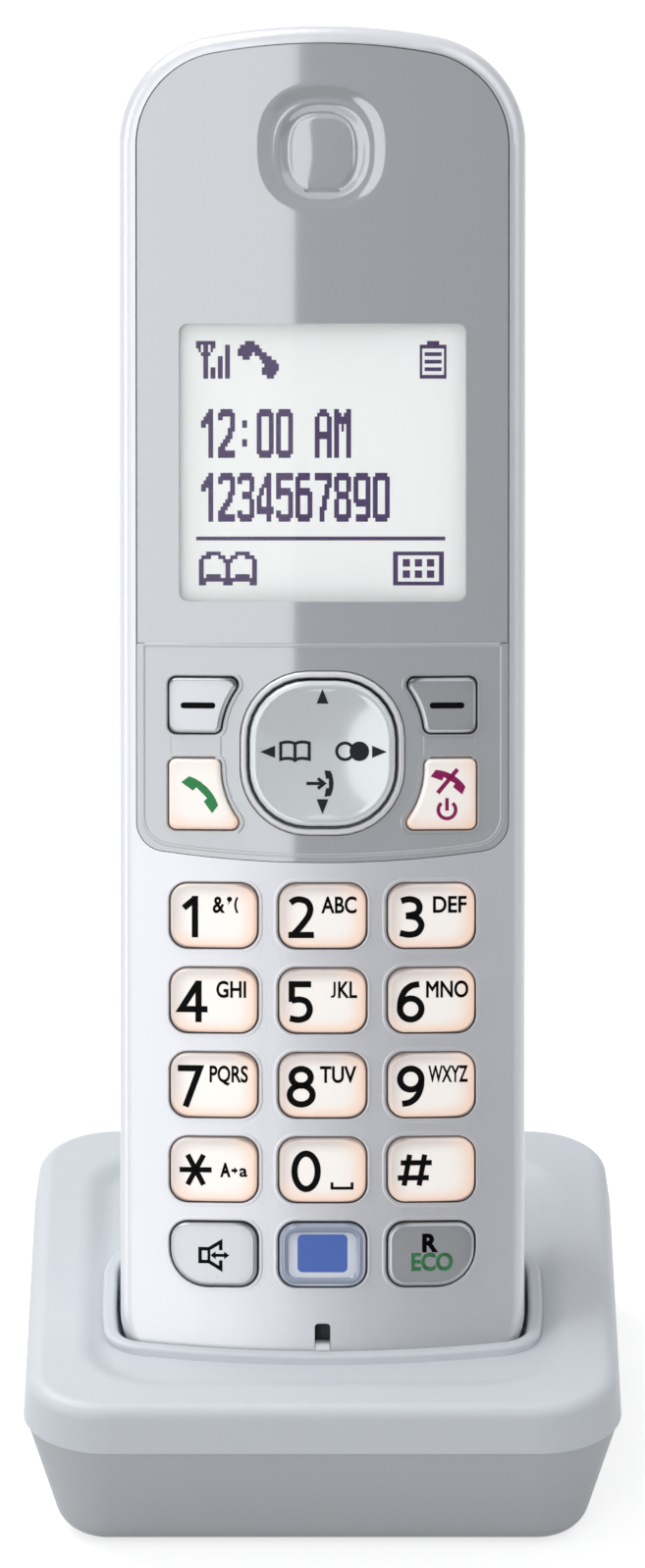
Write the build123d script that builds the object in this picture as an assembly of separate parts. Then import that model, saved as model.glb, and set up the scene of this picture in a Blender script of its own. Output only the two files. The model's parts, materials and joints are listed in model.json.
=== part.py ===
from build123d import *

import os
from math import cos, radians, sin, sqrt, tan

# Sizes are millimetres. The base stands on z = 0 and the front faces -Y.
# Handset pieces are drawn upright, length along Z and depth along +Y from the
# middle of the front face, and are then leaned back into the base.

# Handset body
HANDSET_LENGTH = 162.7
HANDSET_WIDTH = 48.0
HANDSET_DEPTH = 25.0
FACE_RADIUS = 110.0
CROWN_RISE = 4.0
CHIN_RISE = 3.5
TOP_CORNER_R = 13.0
CHIN_CORNER_R = 9.0
FRONT_EDGE_R = 1.8
BACK_EDGE_R = 8.0
CASE_WALL = 1.8
FACE_WALL = 2.4
PARTING_DEPTH = 10.0
LEAN_DEG = 22.0

# Gloss panels and display
PANEL_RIM = 1.95
PANEL_THICK = 1.2
PANEL_GAP = 0.1
PANEL_FOOT_Z = 64.0
PANEL_FOOT_RISE = 2.8
PANEL_FOOT_R = 3.5
PANEL_SPLIT_Z = 90.0
WINDOW_W = 33.9
WINDOW_H = 32.8
WINDOW_R = 1.1
WINDOW_Z = 111.3
WINDOW_SINK = 0.5
LCD_MARGIN = 1.3
LCD_THICK = 1.5
LCD_CLEAR = 0.15
HOLDER_MARGIN = 1.0
EAR_Z = 148.4
EAR_W = 14.6
EAR_H = 13.5
EAR_R = 6.2
EAR_SINK = 0.7
EAR_BED_R = 0.6
EAR_LIP_R = 0.5
EAR_PAD_W = 7.6
EAR_PAD_H = 9.0
EAR_PAD_R = 3.2
EAR_SLOT_W = 5.0
EAR_SLOT_H = 0.8

# Keys
KEY_W = 10.2
KEY_H = 7.5
KEY_R = 2.0
KEY_PITCH_X = 12.85
KEY_PITCH_Z = 10.05
DIAL_FOOT_Z = 27.6
FUNCTION_Z = 17.55
FUNCTION_BIG_R = 4.4
KEY_GAP = 0.25
KEY_PROUD = 0.8
KEY_TRAVEL = 0.8
KEY_EDGE_R = 0.45
FLANGE_WIDE = 0.6
FLANGE_THICK = 0.5
FLANGE_CLEAR = 0.1
SIDE_KEY_OUTER_X = 18.1
SIDE_KEY_CLEAR = 2.3
SIDE_KEY_R = 0.8
SOFT_KEY_H = 6.5
SOFT_KEY_Z = 82.65
TALK_KEY_H = 8.3
TALK_KEY_Z = 72.15

# Four-way key
NAV_Z = 77.0
NAV_KEY_W = 17.2
NAV_KEY_R = 6.9
NAV_RING_WALL = 0.85
NAV_GAP = 0.35
NAV_CAP_FOOT = 2.2
GIMBAL_FRONT = 3.1
GIMBAL_THICK = 1.4
GIMBAL_OUTER_R = 6.6
GIMBAL_INNER_R = 4.6
NAV_STEM_R = 3.0
NAV_PIN_INSET = 0.6
TRUNNION_R = 0.5
TRUNNION_CLEAR = 0.08
EAR_BLOCK = 1.6

# Boards and parts inside the handset
MAT_SKIN = 0.5
BOARD_THICK = 1.2
BOARD_EDGE_CLEAR = 1.6
BOARD_FOOT_Z = 12.5
BOARD_HEAD_Z = 131.0
MAT_HEAD_Z = 86.6
SHIELD_W = 26.0
SHIELD_L = 24.0
SHIELD_H = 2.4
SHIELD_Z = 108.0
SHIELD_WALL = 0.3
ANTENNA_W = 32.0
ANTENNA_H = 5.0
ANTENNA_THICK = 0.5
RECEIVER_R = 7.2
RECEIVER_H = 4.4
RECEIVER_CUP_H = 2.2
RECEIVER_MAGNET_R = 4.8
GASKET_R = 6.8
GASKET_HOLE_R = 5.2
GASKET_THICK = 1.2
SPEAKER_R = 10.0
SPEAKER_H = 5.0
SPEAKER_BASKET_H = 2.5
SPEAKER_MAGNET_R = 6.7
SPEAKER_Z = 112.0
GRILLE_SLOTS = 5
GRILLE_PITCH = 2.6
GRILLE_SLOT_H = 1.0
GRILLE_LENGTH = 13.0
MIC_R = 3.0
MIC_H = 2.7
MIC_Z = 8.2
MIC_CLEAR = 0.05
MIC_BOOT_WALL = 0.6
MIC_SLOT_W = 1.85
MIC_SLOT_H = 3.3
MIC_SLOT_R = 0.45
MIC_SLOT_Z = 7.65

# Batteries and their bay
CELL_R = 5.25
CELL_LENGTH = 44.5
CELL_BUTTON_R = 1.9
CELL_BUTTON_H = 1.0
CELL_SPACE = 0.7
CELL_CLEAR = 0.2
BAY_FOOT_Z = 33.2
BAY_WALL = 1.2
CONTACT_PLATE = 0.4
CONTACT_PLATE_W = 8.0
CONTACT_SPRING_R = 2.8
CONTACT_SPRING_H = 2.4
CONTACT_NUB_R = 2.4
CONTACT_NUB_H = 1.2
CONTACT_GAP = 0.15
COVER_THICK = 1.6
COVER_W = 34.0
COVER_FOOT_Z = 27.0
COVER_HEAD_Z = 87.6
COVER_GAP = 0.2
COVER_TRAVEL = 8.0
COVER_LEDGE = 1.6
COVER_EDGE_R = 0.5
GRIP_RIDGES = 4
GRIP_PITCH = 2.2
GRIP_W = 14.0
GRIP_DEPTH = 0.5

# Case screws
SCREW_X = 14.0
SCREW_HEAD_Z = 139.0
SCREW_FOOT_Z = 9.6
SCREW_SHANK_R = 0.95
SCREW_HEAD_R = 2.2
SCREW_HEAD_H = 1.4
SCREW_LENGTH = 5.0
SCREW_SEAT = 2.0
SCREW_CLEAR = 0.1
BOSS_WALL = 1.4
CROSS_L = 2.9
CROSS_W = 0.6
CROSS_DEPTH = 0.7

# Charging base
BASE_WIDTH = 70.6
BASE_DEPTH = 73.2
BASE_CORNER_R = 10.0
BASE_TOP_Z = 20.5
SEAM_Z = 14.9
SEAM_STEP = 0.25
COVER_FLARE_DEG = 8.0
SHELL_TAPER_DEG = 16.2
BASE_TOP_EDGE_R = 1.8
BASE_FOOT_EDGE_R = 4.0
BASE_WALL = 2.0
BASE_FLOOR = 1.8
DISH_DEPTH = 1.2
DISH_RIM = 6.0
DISH_SLOPE = 2.6
DISH_CORNER_R = 10.0
DISH_BED_R = 4.0
DISH_LIP_R = 4.0
WELL_SETBACK = 15.8
WELL_GAP = 0.6
TUB_WALL = 1.5
COLLAR_WALL = 1.7
COLLAR_SINK = 0.2
COLLAR_EDGE_R = 0.5
BASE_BOARD_W = 34.0
BASE_BOARD_FRONT = 14.0
BASE_BOARD_LIFT = 1.6
BASE_BOARD_CLEAR = 0.5
STANDOFF_R = 1.6
STANDOFF_INSET = 3.0

# Charge contacts
PAD_X = 12.0
PAD_W = 4.0
PAD_DEPTH = 3.6
PAD_SETBACK = 0.6
PAD_THICK = 1.2
PAD_CLEAR = 0.1
PIN_R = 1.0
PIN_TIP_R = 0.9
PIN_CLEAR = 0.15
PIN_GAP = 0.35
PIN_TRAVEL = 0.7
BARREL_WALL = 0.8
BARREL_FLOOR = 0.3
BARREL_CLEAR = 0.3
SPRING_WIRE = 0.25

# DC inlet, feet and base screws
JACK_W = 9.0
JACK_L = 11.0
JACK_SOCKET_R = 3.0
JACK_WALL = 1.0
JACK_PIN_R = 1.0
JACK_SOCKET_DEPTH = 9.0
JACK_NOSE = 2.6
JACK_CLEAR = 0.3
FOOT_R = 3.5
FOOT_THICK = 0.8
FOOT_X = 17.0
FOOT_INSET = 11.2
BASE_SCREW_INSET = 6.0
BASE_BOSS_R = 3.4
BASE_BOSS_TOP = 8.0
BASE_SCREW_LENGTH = 9.5
BASE_SCREW_SEAT = 3.2

# Reach of cutting prisms past the piece they cut
OVER = 6.0

LEAN = radians(LEAN_DEG)
HALF_W = HANDSET_WIDTH / 2
MAT_FRONT = FACE_WALL + FLANGE_CLEAR + FLANGE_THICK + KEY_TRAVEL + FLANGE_CLEAR
KEY_FOOT = FACE_WALL + FLANGE_CLEAR + FLANGE_THICK
BOARD_HALF_W = HALF_W - CASE_WALL - BOARD_EDGE_CLEAR
LCD_W = WINDOW_W + 2 * LCD_MARGIN
LCD_H = WINDOW_H + 2 * LCD_MARGIN
CONTACT_ROOM = 2 * (CONTACT_PLATE + CONTACT_GAP) + CONTACT_SPRING_H + CONTACT_NUB_H
BAY_LENGTH = CELL_LENGTH + CELL_BUTTON_H + CONTACT_ROOM
BAY_HALF_W = 2 * CELL_R + CELL_SPACE / 2 + CELL_CLEAR
BAY_FLOOR_Y = HANDSET_DEPTH - COVER_THICK - 2 * (CELL_R + CELL_CLEAR)
CELL_Y = BAY_FLOOR_Y + CELL_CLEAR + CELL_R
CELL_X = CELL_R + CELL_SPACE / 2
CELL_FOOT_Z = BAY_FOOT_Z + CONTACT_PLATE + CONTACT_SPRING_H + CONTACT_GAP
BASE_HALF_W = BASE_WIDTH / 2
BASE_HALF_D = BASE_DEPTH / 2


def face_y(x, depth):
    """Depth coordinate, at x, of the bowed surface sunk below the front face."""
    return FACE_RADIUS - sqrt((FACE_RADIUS - depth) ** 2 - x * x)


LCD_FRONT = face_y(LCD_W / 2, PANEL_THICK) + LCD_CLEAR
HOLDER_FRONT = LCD_FRONT + LCD_THICK
BOARD_FRONT = face_y(BOARD_HALF_W, MAT_FRONT) + MAT_SKIN
BOARD_BACK = BOARD_FRONT + BOARD_THICK

# Height of the base board, then of the handset's lowest point above it
BASE_BOARD_Z = BASE_FLOOR + BASE_BOARD_LIFT
BASE_BOARD_TOP = BASE_BOARD_Z + BOARD_THICK
HANDSET_LOW_Z = BASE_BOARD_TOP + BASE_BOARD_CLEAR + TUB_WALL + WELL_GAP
BACK_ARC_LOW = (
    BACK_EDGE_R * cos(LEAN) - (HANDSET_DEPTH - BACK_EDGE_R) * sin(LEAN) - BACK_EDGE_R
)
SEAT_Z = HANDSET_LOW_Z - BACK_ARC_LOW
CREST_INSET = (BASE_TOP_Z - SEAM_Z) * tan(radians(COVER_FLARE_DEG))
SEAT_Y = CREST_INSET + WELL_SETBACK - BASE_HALF_D - (BASE_TOP_Z - SEAT_Z) * tan(LEAN)
SEAT = Pos(0, SEAT_Y, SEAT_Z) * Rot(-LEAN_DEG, 0, 0)


def seat_point(depth, height):
    """World (y, z) of a handset point at the given depth and height."""
    y = SEAT_Y + depth * cos(LEAN) + height * sin(LEAN)
    z = SEAT_Z - depth * sin(LEAN) + height * cos(LEAN)
    return y, z


def shell_inset(z):
    """How far the lower shell's wall has come in at height z."""
    return SEAM_STEP + (SEAM_Z - z) * tan(radians(SHELL_TAPER_DEG))


def corner_spots(x, y):
    """The same point in all four quarters of the base."""
    return [(side_x * x, side_y * y) for side_x in (-1, 1) for side_y in (-1, 1)]


# Places in the base that follow from the seat and the shell
PAD_Y = PARTING_DEPTH + PAD_SETBACK + PAD_DEPTH / 2
PIN_Y, PAD_BASE_Z = seat_point(PAD_Y, 0)
BASE_BOARD_BACK = BASE_HALF_D - shell_inset(BASE_BOARD_Z) - BASE_WALL - BASE_BOARD_CLEAR
JACK_R = JACK_SOCKET_R + JACK_WALL
JACK_Z = BASE_BOARD_TOP + JACK_R + JACK_CLEAR
BASE_SCREW_IN = shell_inset(0) + BASE_SCREW_INSET
BASE_SCREW_SPOTS = corner_spots(BASE_HALF_W - BASE_SCREW_IN, BASE_HALF_D - BASE_SCREW_IN)
FOOT_SPOTS = corner_spots(FOOT_X, BASE_HALF_D - FOOT_INSET)
CEILING_Z = BASE_TOP_Z - DISH_DEPTH - BASE_WALL
COLLAR_BAND = (BASE_TOP_Z - DISH_DEPTH / 2, BASE_TOP_Z - COLLAR_SINK / 2)


def prism(sketch, near, far):
    """Upright (x, z) sketch carried from depth near to depth far."""
    return Pos(0, far, 0) * extrude(Plane.XZ * sketch, amount=far - near)


def bowed(depth):
    """All that lies behind the bowed front face sunk by depth."""
    return Pos(0, FACE_RADIUS, 0) * Cylinder(FACE_RADIUS - depth, 2 * HANDSET_LENGTH + 2 * OVER)


def layer(sketch, near, far):
    """Slice of an upright sketch between two depths below the bowed face."""
    return (prism(sketch, -OVER, HANDSET_DEPTH) & bowed(near)) - bowed(far)


def at(x, z):
    """Place of a sketch on the face."""
    return Pos(x, z)


def span(width, low, high):
    """Rectangle on the face, centred across it, from low to high."""
    return at(0, (low + high) / 2) * Rectangle(width, high - low)


def mirrored(sketch):
    """The same sketch on the other side of the middle."""
    return mirror(sketch, about=Plane.YZ)


def group(pieces):
    """Several separate pieces as one part."""
    whole = Part()
    for piece in pieces:
        whole += piece
    return whole


def front_loop(shape):
    """Edges round the foremost face."""
    return shape.faces().sort_by(Axis.Y)[0].edges()


def back_loop(shape):
    """Edges round the rearmost face."""
    return shape.faces().sort_by(Axis.Y)[-1].edges()


def case_outline():
    """Front outline: straight sides, arched crown, rounded chin."""
    foot = CHIN_RISE
    head = HANDSET_LENGTH - CROWN_RISE
    face = make_face(
        Line((-HALF_W, foot), (-HALF_W, head))
        + ThreePointArc((-HALF_W, head), (0, HANDSET_LENGTH), (HALF_W, head))
        + Line((HALF_W, head), (HALF_W, foot))
        + ThreePointArc((HALF_W, foot), (0, 0), (-HALF_W, foot))
    )
    face = fillet(face.vertices().group_by(Axis.Y)[-1], TOP_CORNER_R)
    return fillet(face.vertices().group_by(Axis.Y)[0], CHIN_CORNER_R)


OUTLINE = case_outline()


def outline(grow):
    """Case outline moved out by grow, or in where it is negative."""
    return offset(OUTLINE, amount=grow) if grow else OUTLINE


def handset_envelope(grow):
    """Outer form of the whole handset, grown on all sides."""
    body = prism(outline(grow), -OVER, HANDSET_DEPTH + grow) & bowed(-grow)
    body = fillet(back_loop(body), BACK_EDGE_R + grow)
    return fillet(front_loop(body), FRONT_EDGE_R + grow)


# Sketches of what shows on the face


def panel_outline():
    """Gloss panel area: inside the rim, with an arched lower edge."""
    half = HALF_W - PANEL_RIM
    low = PANEL_FOOT_Z - HANDSET_LENGTH
    side = PANEL_FOOT_Z + PANEL_FOOT_RISE
    below = make_face(
        ThreePointArc((-half - OVER, side), (0, PANEL_FOOT_Z), (half + OVER, side))
        + Line((half + OVER, side), (half + OVER, low))
        + Line((half + OVER, low), (-half - OVER, low))
        + Line((-half - OVER, low), (-half - OVER, side))
    )
    panel = outline(-PANEL_RIM) - below
    return fillet(panel.vertices().group_by(Axis.Y)[0], PANEL_FOOT_R)


PANEL = panel_outline()


def window_sketch(grow):
    """Display window opening."""
    return at(0, WINDOW_Z) * RectangleRounded(WINDOW_W + 2 * grow, WINDOW_H + 2 * grow, WINDOW_R + grow)


def nav_sketch(grow):
    """Four-way key outline."""
    wide = NAV_KEY_W + 2 * grow
    return at(0, NAV_Z) * RectangleRounded(wide, wide, NAV_KEY_R + grow)


def side_key(middle_z, height):
    """Left-hand key beside the four-way key, hollowed to follow its ring."""
    clear = NAV_GAP + NAV_RING_WALL + SIDE_KEY_CLEAR
    inner_x = NAV_KEY_W / 2 - NAV_KEY_R + (NAV_KEY_R + clear) / sqrt(2)
    wide = SIDE_KEY_OUTER_X - inner_x
    block = at(-inner_x - wide / 2, middle_z) * Rectangle(wide, height)
    key = block - nav_sketch(clear)
    rows = key.vertices().group_by(Axis.Y)
    return fillet(rows[0] + rows[-1], SIDE_KEY_R)


def corner_key():
    """Left-hand function key with one large outer corner."""
    outer = (-KEY_W / 2, -KEY_H / 2)
    key = fillet(Rectangle(KEY_W, KEY_H).vertices().sort_by_distance(outer)[1:], KEY_R)
    key = fillet(key.vertices().sort_by_distance(outer)[0], FUNCTION_BIG_R)
    return at(-KEY_PITCH_X, FUNCTION_Z) * key


def key_sketches():
    """Outline of each press key on the face, by name."""
    dial = RectangleRounded(KEY_W, KEY_H, KEY_R)
    rows = [["key_star", "key_0", "key_hash"]]
    rows += [[f"key_{3 * row + col + 1}" for col in range(3)] for row in (2, 1, 0)]
    keys = {}
    for row, names in enumerate(rows):
        for col, name in enumerate(names):
            keys[name] = at((col - 1) * KEY_PITCH_X, DIAL_FOOT_Z + row * KEY_PITCH_Z) * dial
    keys["soft_key_left"] = side_key(SOFT_KEY_Z, SOFT_KEY_H)
    keys["talk_key"] = side_key(TALK_KEY_Z, TALK_KEY_H)
    keys["speaker_key"] = corner_key()
    keys["soft_key_right"] = mirrored(keys["soft_key_left"])
    keys["off_key"] = mirrored(keys["talk_key"])
    keys["recall_key"] = mirrored(keys["speaker_key"])
    keys["function_key"] = at(0, FUNCTION_Z) * dial
    return keys


KEYS = key_sketches()
SCREW_SPOTS = [(x, z) for x in (-SCREW_X, SCREW_X) for z in (SCREW_FOOT_Z, SCREW_HEAD_Z)]
EAR_SLOT = at(0, EAR_Z - EAR_PAD_H / 2 + EAR_SLOT_H / 2) * SlotOverall(EAR_SLOT_W, EAR_SLOT_H)


# Handset shells


def front_case():
    """Silver front shell: key holes, panel pocket, screw posts and gimbal blocks."""
    shell = prism(OUTLINE, -OVER, PARTING_DEPTH) & bowed(0)
    shell = fillet(front_loop(shell), FRONT_EDGE_R)
    shell -= prism(outline(-CASE_WALL), -OVER, PARTING_DEPTH) & bowed(FACE_WALL)
    post_r = SCREW_SHANK_R + BOSS_WALL
    for x, z in SCREW_SPOTS:
        shell += prism(at(x, z) * Circle(post_r), 0, PARTING_DEPTH) & bowed(FACE_WALL / 2)
        hole = Circle(SCREW_SHANK_R + SCREW_CLEAR / 2)
        shell -= prism(at(x, z) * hole, PARTING_DEPTH - SCREW_LENGTH - SCREW_CLEAR, PARTING_DEPTH)
    shell -= prism(PANEL, -OVER, HANDSET_DEPTH) - bowed(PANEL_THICK)
    lcd_hole = at(0, WINDOW_Z) * Rectangle(LCD_W + 2 * LCD_CLEAR, LCD_H + 2 * LCD_CLEAR)
    shell -= prism(lcd_hole, -OVER, PARTING_DEPTH)
    shell -= prism(nav_sketch(NAV_GAP), -OVER, PARTING_DEPTH)
    for key in KEYS.values():
        shell -= prism(offset(key, amount=KEY_GAP), -OVER, PARTING_DEPTH)
    shell -= prism(EAR_SLOT, -OVER, PARTING_DEPTH)
    mic_slot = RectangleRounded(MIC_SLOT_W, MIC_SLOT_H, MIC_SLOT_R)
    shell -= prism(at(0, MIC_SLOT_Z) * mic_slot, -OVER, PARTING_DEPTH)
    return shell + gimbal_blocks()


def trunnion(x0, x1, radius):
    """Round pin along X at the gimbal's depth."""
    middle = (x0 + x1) / 2
    return Pos(middle, GIMBAL_FRONT + GIMBAL_THICK / 2, NAV_Z) * Rot(0, 90, 0) * Cylinder(radius, x1 - x0)


def gimbal_blocks():
    """Two bearing blocks behind the face, one each side of the four-way key."""
    near = NAV_KEY_W / 2 + NAV_GAP + PANEL_GAP
    far = near + EAR_BLOCK
    back = GIMBAL_FRONT + GIMBAL_THICK + TRUNNION_R
    blocks = Part()
    for side in (-1, 1):
        rect = at(side * (near + far) / 2, NAV_Z) * Rectangle(EAR_BLOCK, 2 * EAR_BLOCK)
        blocks += prism(rect, 0, back) & bowed(FACE_WALL / 2 + PANEL_THICK / 2)
    bore = trunnion(-far - OVER, far + OVER, TRUNNION_R + TRUNNION_CLEAR)
    return blocks - bore


def display_panel():
    """Upper gloss panel with the window opening and the dished earpiece."""
    sketch = offset(PANEL, amount=-PANEL_GAP) & span(HANDSET_WIDTH, PANEL_SPLIT_Z, HANDSET_LENGTH)
    panel = layer(sketch, 0, PANEL_THICK)
    panel -= prism(window_sketch(0), -OVER, HANDSET_DEPTH)
    ring = RectangleRounded(EAR_W, EAR_H, EAR_R) - RectangleRounded(EAR_PAD_W, EAR_PAD_H, EAR_PAD_R)
    groove = prism(at(0, EAR_Z) * ring, -OVER, HANDSET_DEPTH) - bowed(EAR_SINK)
    panel -= fillet(back_loop(groove), EAR_BED_R)
    reach = EAR_H / 2 + EAR_LIP_R
    mouth = panel.edges().filter_by_position(Axis.Z, EAR_Z - reach, EAR_Z + reach)
    mouth = mouth.filter_by_position(Axis.X, -reach - EAR_LIP_R, reach + EAR_LIP_R)
    panel = fillet(mouth.filter_by_position(Axis.Y, -EAR_LIP_R, EAR_LIP_R), EAR_LIP_R)
    return panel - prism(EAR_SLOT, -OVER, HANDSET_DEPTH)


def key_panel():
    """Lower gloss panel with holes for the keys beside the four-way key."""
    above = span(HANDSET_WIDTH, PANEL_SPLIT_Z - PANEL_GAP, HANDSET_LENGTH)
    panel = layer(offset(PANEL, amount=-PANEL_GAP) - above, 0, PANEL_THICK)
    panel -= prism(nav_sketch(NAV_GAP + NAV_RING_WALL), -OVER, HANDSET_DEPTH)
    for name in ("soft_key_left", "soft_key_right", "talk_key", "off_key"):
        panel -= prism(offset(KEYS[name], amount=KEY_GAP), -OVER, HANDSET_DEPTH)
    return panel


def rear_case():
    """Rear shell: battery bay, cover recess, loudspeaker grille, screw tunnels."""
    whole = prism(OUTLINE, PARTING_DEPTH, HANDSET_DEPTH)
    whole = fillet(back_loop(whole), BACK_EDGE_R)
    hollow = prism(outline(-CASE_WALL), PARTING_DEPTH, HANDSET_DEPTH - CASE_WALL)
    hollow = fillet(back_loop(hollow), BACK_EDGE_R - CASE_WALL)
    shell = whole - hollow
    recess_y = HANDSET_DEPTH - COVER_THICK
    recess_foot = COVER_FOOT_Z - COVER_TRAVEL - COVER_GAP
    recess = span(COVER_W + 2 * COVER_GAP, recess_foot, COVER_HEAD_Z + COVER_GAP)
    shell += prism(offset(recess, amount=COVER_LEDGE), recess_y - COVER_LEDGE, HANDSET_DEPTH - CASE_WALL)
    bay = span(2 * BAY_HALF_W, BAY_FOOT_Z, BAY_FOOT_Z + BAY_LENGTH)
    shell += prism(offset(bay, amount=BAY_WALL), BAY_FLOOR_Y - BAY_WALL, recess_y)
    tunnel_r = SCREW_HEAD_R + SCREW_CLEAR
    for x, z in SCREW_SPOTS:
        shell += prism(at(x, z) * Circle(tunnel_r + BOSS_WALL), PARTING_DEPTH, HANDSET_DEPTH) & whole
    for x, z in SCREW_SPOTS:
        shell -= prism(at(x, z) * Circle(tunnel_r), PARTING_DEPTH + SCREW_SEAT, HANDSET_DEPTH + OVER)
        shell -= prism(at(x, z) * Circle(SCREW_SHANK_R + SCREW_CLEAR), PARTING_DEPTH - OVER, HANDSET_DEPTH)
    shell -= prism(recess, recess_y, HANDSET_DEPTH + OVER)
    shell -= prism(bay, BAY_FLOOR_Y, HANDSET_DEPTH + OVER)
    for slot in range(GRILLE_SLOTS):
        z = SPEAKER_Z + (slot - (GRILLE_SLOTS - 1) / 2) * GRILLE_PITCH
        grille = at(0, z) * SlotOverall(GRILLE_LENGTH, GRILLE_SLOT_H)
        shell -= prism(grille, HANDSET_DEPTH - 2 * CASE_WALL, HANDSET_DEPTH + OVER)
    for side in (-1, 1):
        shell -= pad_block(side, PAD_CLEAR)
    return shell


def battery_cover():
    """Flat sliding cover with finger grooves."""
    plate = prism(span(COVER_W, COVER_FOOT_Z, COVER_HEAD_Z), HANDSET_DEPTH - COVER_THICK, HANDSET_DEPTH)
    plate = fillet(back_loop(plate), COVER_EDGE_R)
    for ridge in range(GRIP_RIDGES):
        z = COVER_HEAD_Z - (ridge + 2) * GRIP_PITCH
        groove = at(0, z) * SlotOverall(GRIP_W, GRIP_PITCH / 2)
        plate -= prism(groove, HANDSET_DEPTH - GRIP_DEPTH, HANDSET_DEPTH + OVER)
    return plate


# Keys


def press_key(sketch):
    """Key cap that follows the bowed face, with a flange behind the wall."""
    cap = layer(sketch, -KEY_PROUD, KEY_FOOT)
    cap = fillet(front_loop(cap), KEY_EDGE_R)
    return cap + layer(offset(sketch, amount=FLANGE_WIDE), FACE_WALL + FLANGE_CLEAR, KEY_FOOT)


def nav_ring():
    """Trim ring round the four-way key."""
    ring = nav_sketch(NAV_GAP + NAV_RING_WALL - PANEL_GAP) - nav_sketch(NAV_GAP)
    return layer(ring, 0, PANEL_THICK)


def nav_key():
    """Four-way cap with a stem and upright pivot pins in the gimbal."""
    cap = layer(nav_sketch(0), -KEY_PROUD, NAV_CAP_FOOT)
    cap = fillet(front_loop(cap), KEY_EDGE_R)
    stem = at(0, NAV_Z) * Circle(NAV_STEM_R)
    cap += prism(stem, NAV_CAP_FOOT - FLANGE_THICK, GIMBAL_FRONT + GIMBAL_THICK)
    pin = Cylinder(TRUNNION_R, 2 * (GIMBAL_OUTER_R - NAV_PIN_INSET))
    return cap + Pos(0, GIMBAL_FRONT + GIMBAL_THICK / 2, NAV_Z) * pin


def nav_rocker():
    """Gimbal ring: sideways pins in the front case, bores for the key's pins."""
    ring = Circle(GIMBAL_OUTER_R) - Circle(GIMBAL_INNER_R)
    body = prism(at(0, NAV_Z) * ring, GIMBAL_FRONT, GIMBAL_FRONT + GIMBAL_THICK)
    reach = NAV_KEY_W / 2 + NAV_GAP + EAR_BLOCK
    inner = (GIMBAL_OUTER_R + GIMBAL_INNER_R) / 2
    for x0, x1 in ((-reach, -inner), (inner, reach)):
        body += trunnion(x0, x1, TRUNNION_R)
    bore = Cylinder(TRUNNION_R + TRUNNION_CLEAR, 2 * (GIMBAL_OUTER_R + OVER))
    return body - Pos(0, GIMBAL_FRONT + GIMBAL_THICK / 2, NAV_Z) * bore


def keypad_mat():
    """Silicone mat: bowed in front under the keys, flat on the board."""
    sheet = span(2 * BOARD_HALF_W, BOARD_FOOT_Z, MAT_HEAD_Z)
    sheet -= at(0, NAV_Z) * Circle(NAV_KEY_W / 2 + NAV_GAP + EAR_BLOCK + FLANGE_WIDE)
    return prism(sheet, 0, BOARD_FRONT) & bowed(MAT_FRONT)


# Display, boards and sound


def display_window():
    """Clear window plate sunk in the display panel."""
    return layer(window_sketch(-PANEL_GAP), WINDOW_SINK, PANEL_THICK)


def lcd_glass():
    """Display glass behind the window."""
    return prism(at(0, WINDOW_Z) * Rectangle(LCD_W, LCD_H), LCD_FRONT, HOLDER_FRONT)


def lcd_holder():
    """Backlight frame between display glass and board."""
    frame = at(0, WINDOW_Z) * Rectangle(LCD_W + 2 * HOLDER_MARGIN, LCD_H + 2 * HOLDER_MARGIN)
    return prism(frame, HOLDER_FRONT, BOARD_FRONT)


def main_board():
    """Handset circuit board."""
    return prism(span(2 * BOARD_HALF_W, BOARD_FOOT_Z, BOARD_HEAD_Z), BOARD_FRONT, BOARD_BACK)


def board_shield():
    """Folded screening can on the back of the board."""
    can = prism(at(0, SHIELD_Z) * Rectangle(SHIELD_W, SHIELD_L), BOARD_BACK, BOARD_BACK + SHIELD_H)
    inner = Rectangle(SHIELD_W - 2 * SHIELD_WALL, SHIELD_L - 2 * SHIELD_WALL)
    return can - prism(at(0, SHIELD_Z) * inner, BOARD_BACK, BOARD_BACK + SHIELD_H - SHIELD_WALL)


def antenna():
    """Bent strip along the top of the board."""
    foot = span(ANTENNA_W, BOARD_HEAD_Z - ANTENNA_H, BOARD_HEAD_Z)
    fin = span(ANTENNA_W, BOARD_HEAD_Z - ANTENNA_THICK, BOARD_HEAD_Z)
    strip = prism(foot, BOARD_BACK, BOARD_BACK + ANTENNA_THICK)
    return strip + prism(fin, BOARD_BACK, BOARD_BACK + ANTENNA_H)


def receiver_gasket():
    """Foam ring that seals the receiver to the face."""
    ring = at(0, EAR_Z) * (Circle(GASKET_R) - Circle(GASKET_HOLE_R))
    return prism(ring, 0, FACE_WALL + GASKET_THICK) & bowed(FACE_WALL)


def earpiece_receiver():
    """Small round receiver with its magnet cup."""
    front = FACE_WALL + GASKET_THICK
    cup = prism(at(0, EAR_Z) * Circle(RECEIVER_R), front, front + RECEIVER_CUP_H)
    magnet = prism(at(0, EAR_Z) * Circle(RECEIVER_MAGNET_R), front, front + RECEIVER_H)
    return cup + magnet


def loudspeaker():
    """Round loudspeaker on the rear wall, with its magnet."""
    back = HANDSET_DEPTH - CASE_WALL
    basket = prism(at(0, SPEAKER_Z) * Circle(SPEAKER_R), back - SPEAKER_BASKET_H, back)
    magnet = prism(at(0, SPEAKER_Z) * Circle(SPEAKER_MAGNET_R), back - SPEAKER_H, back)
    return basket + magnet


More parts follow.
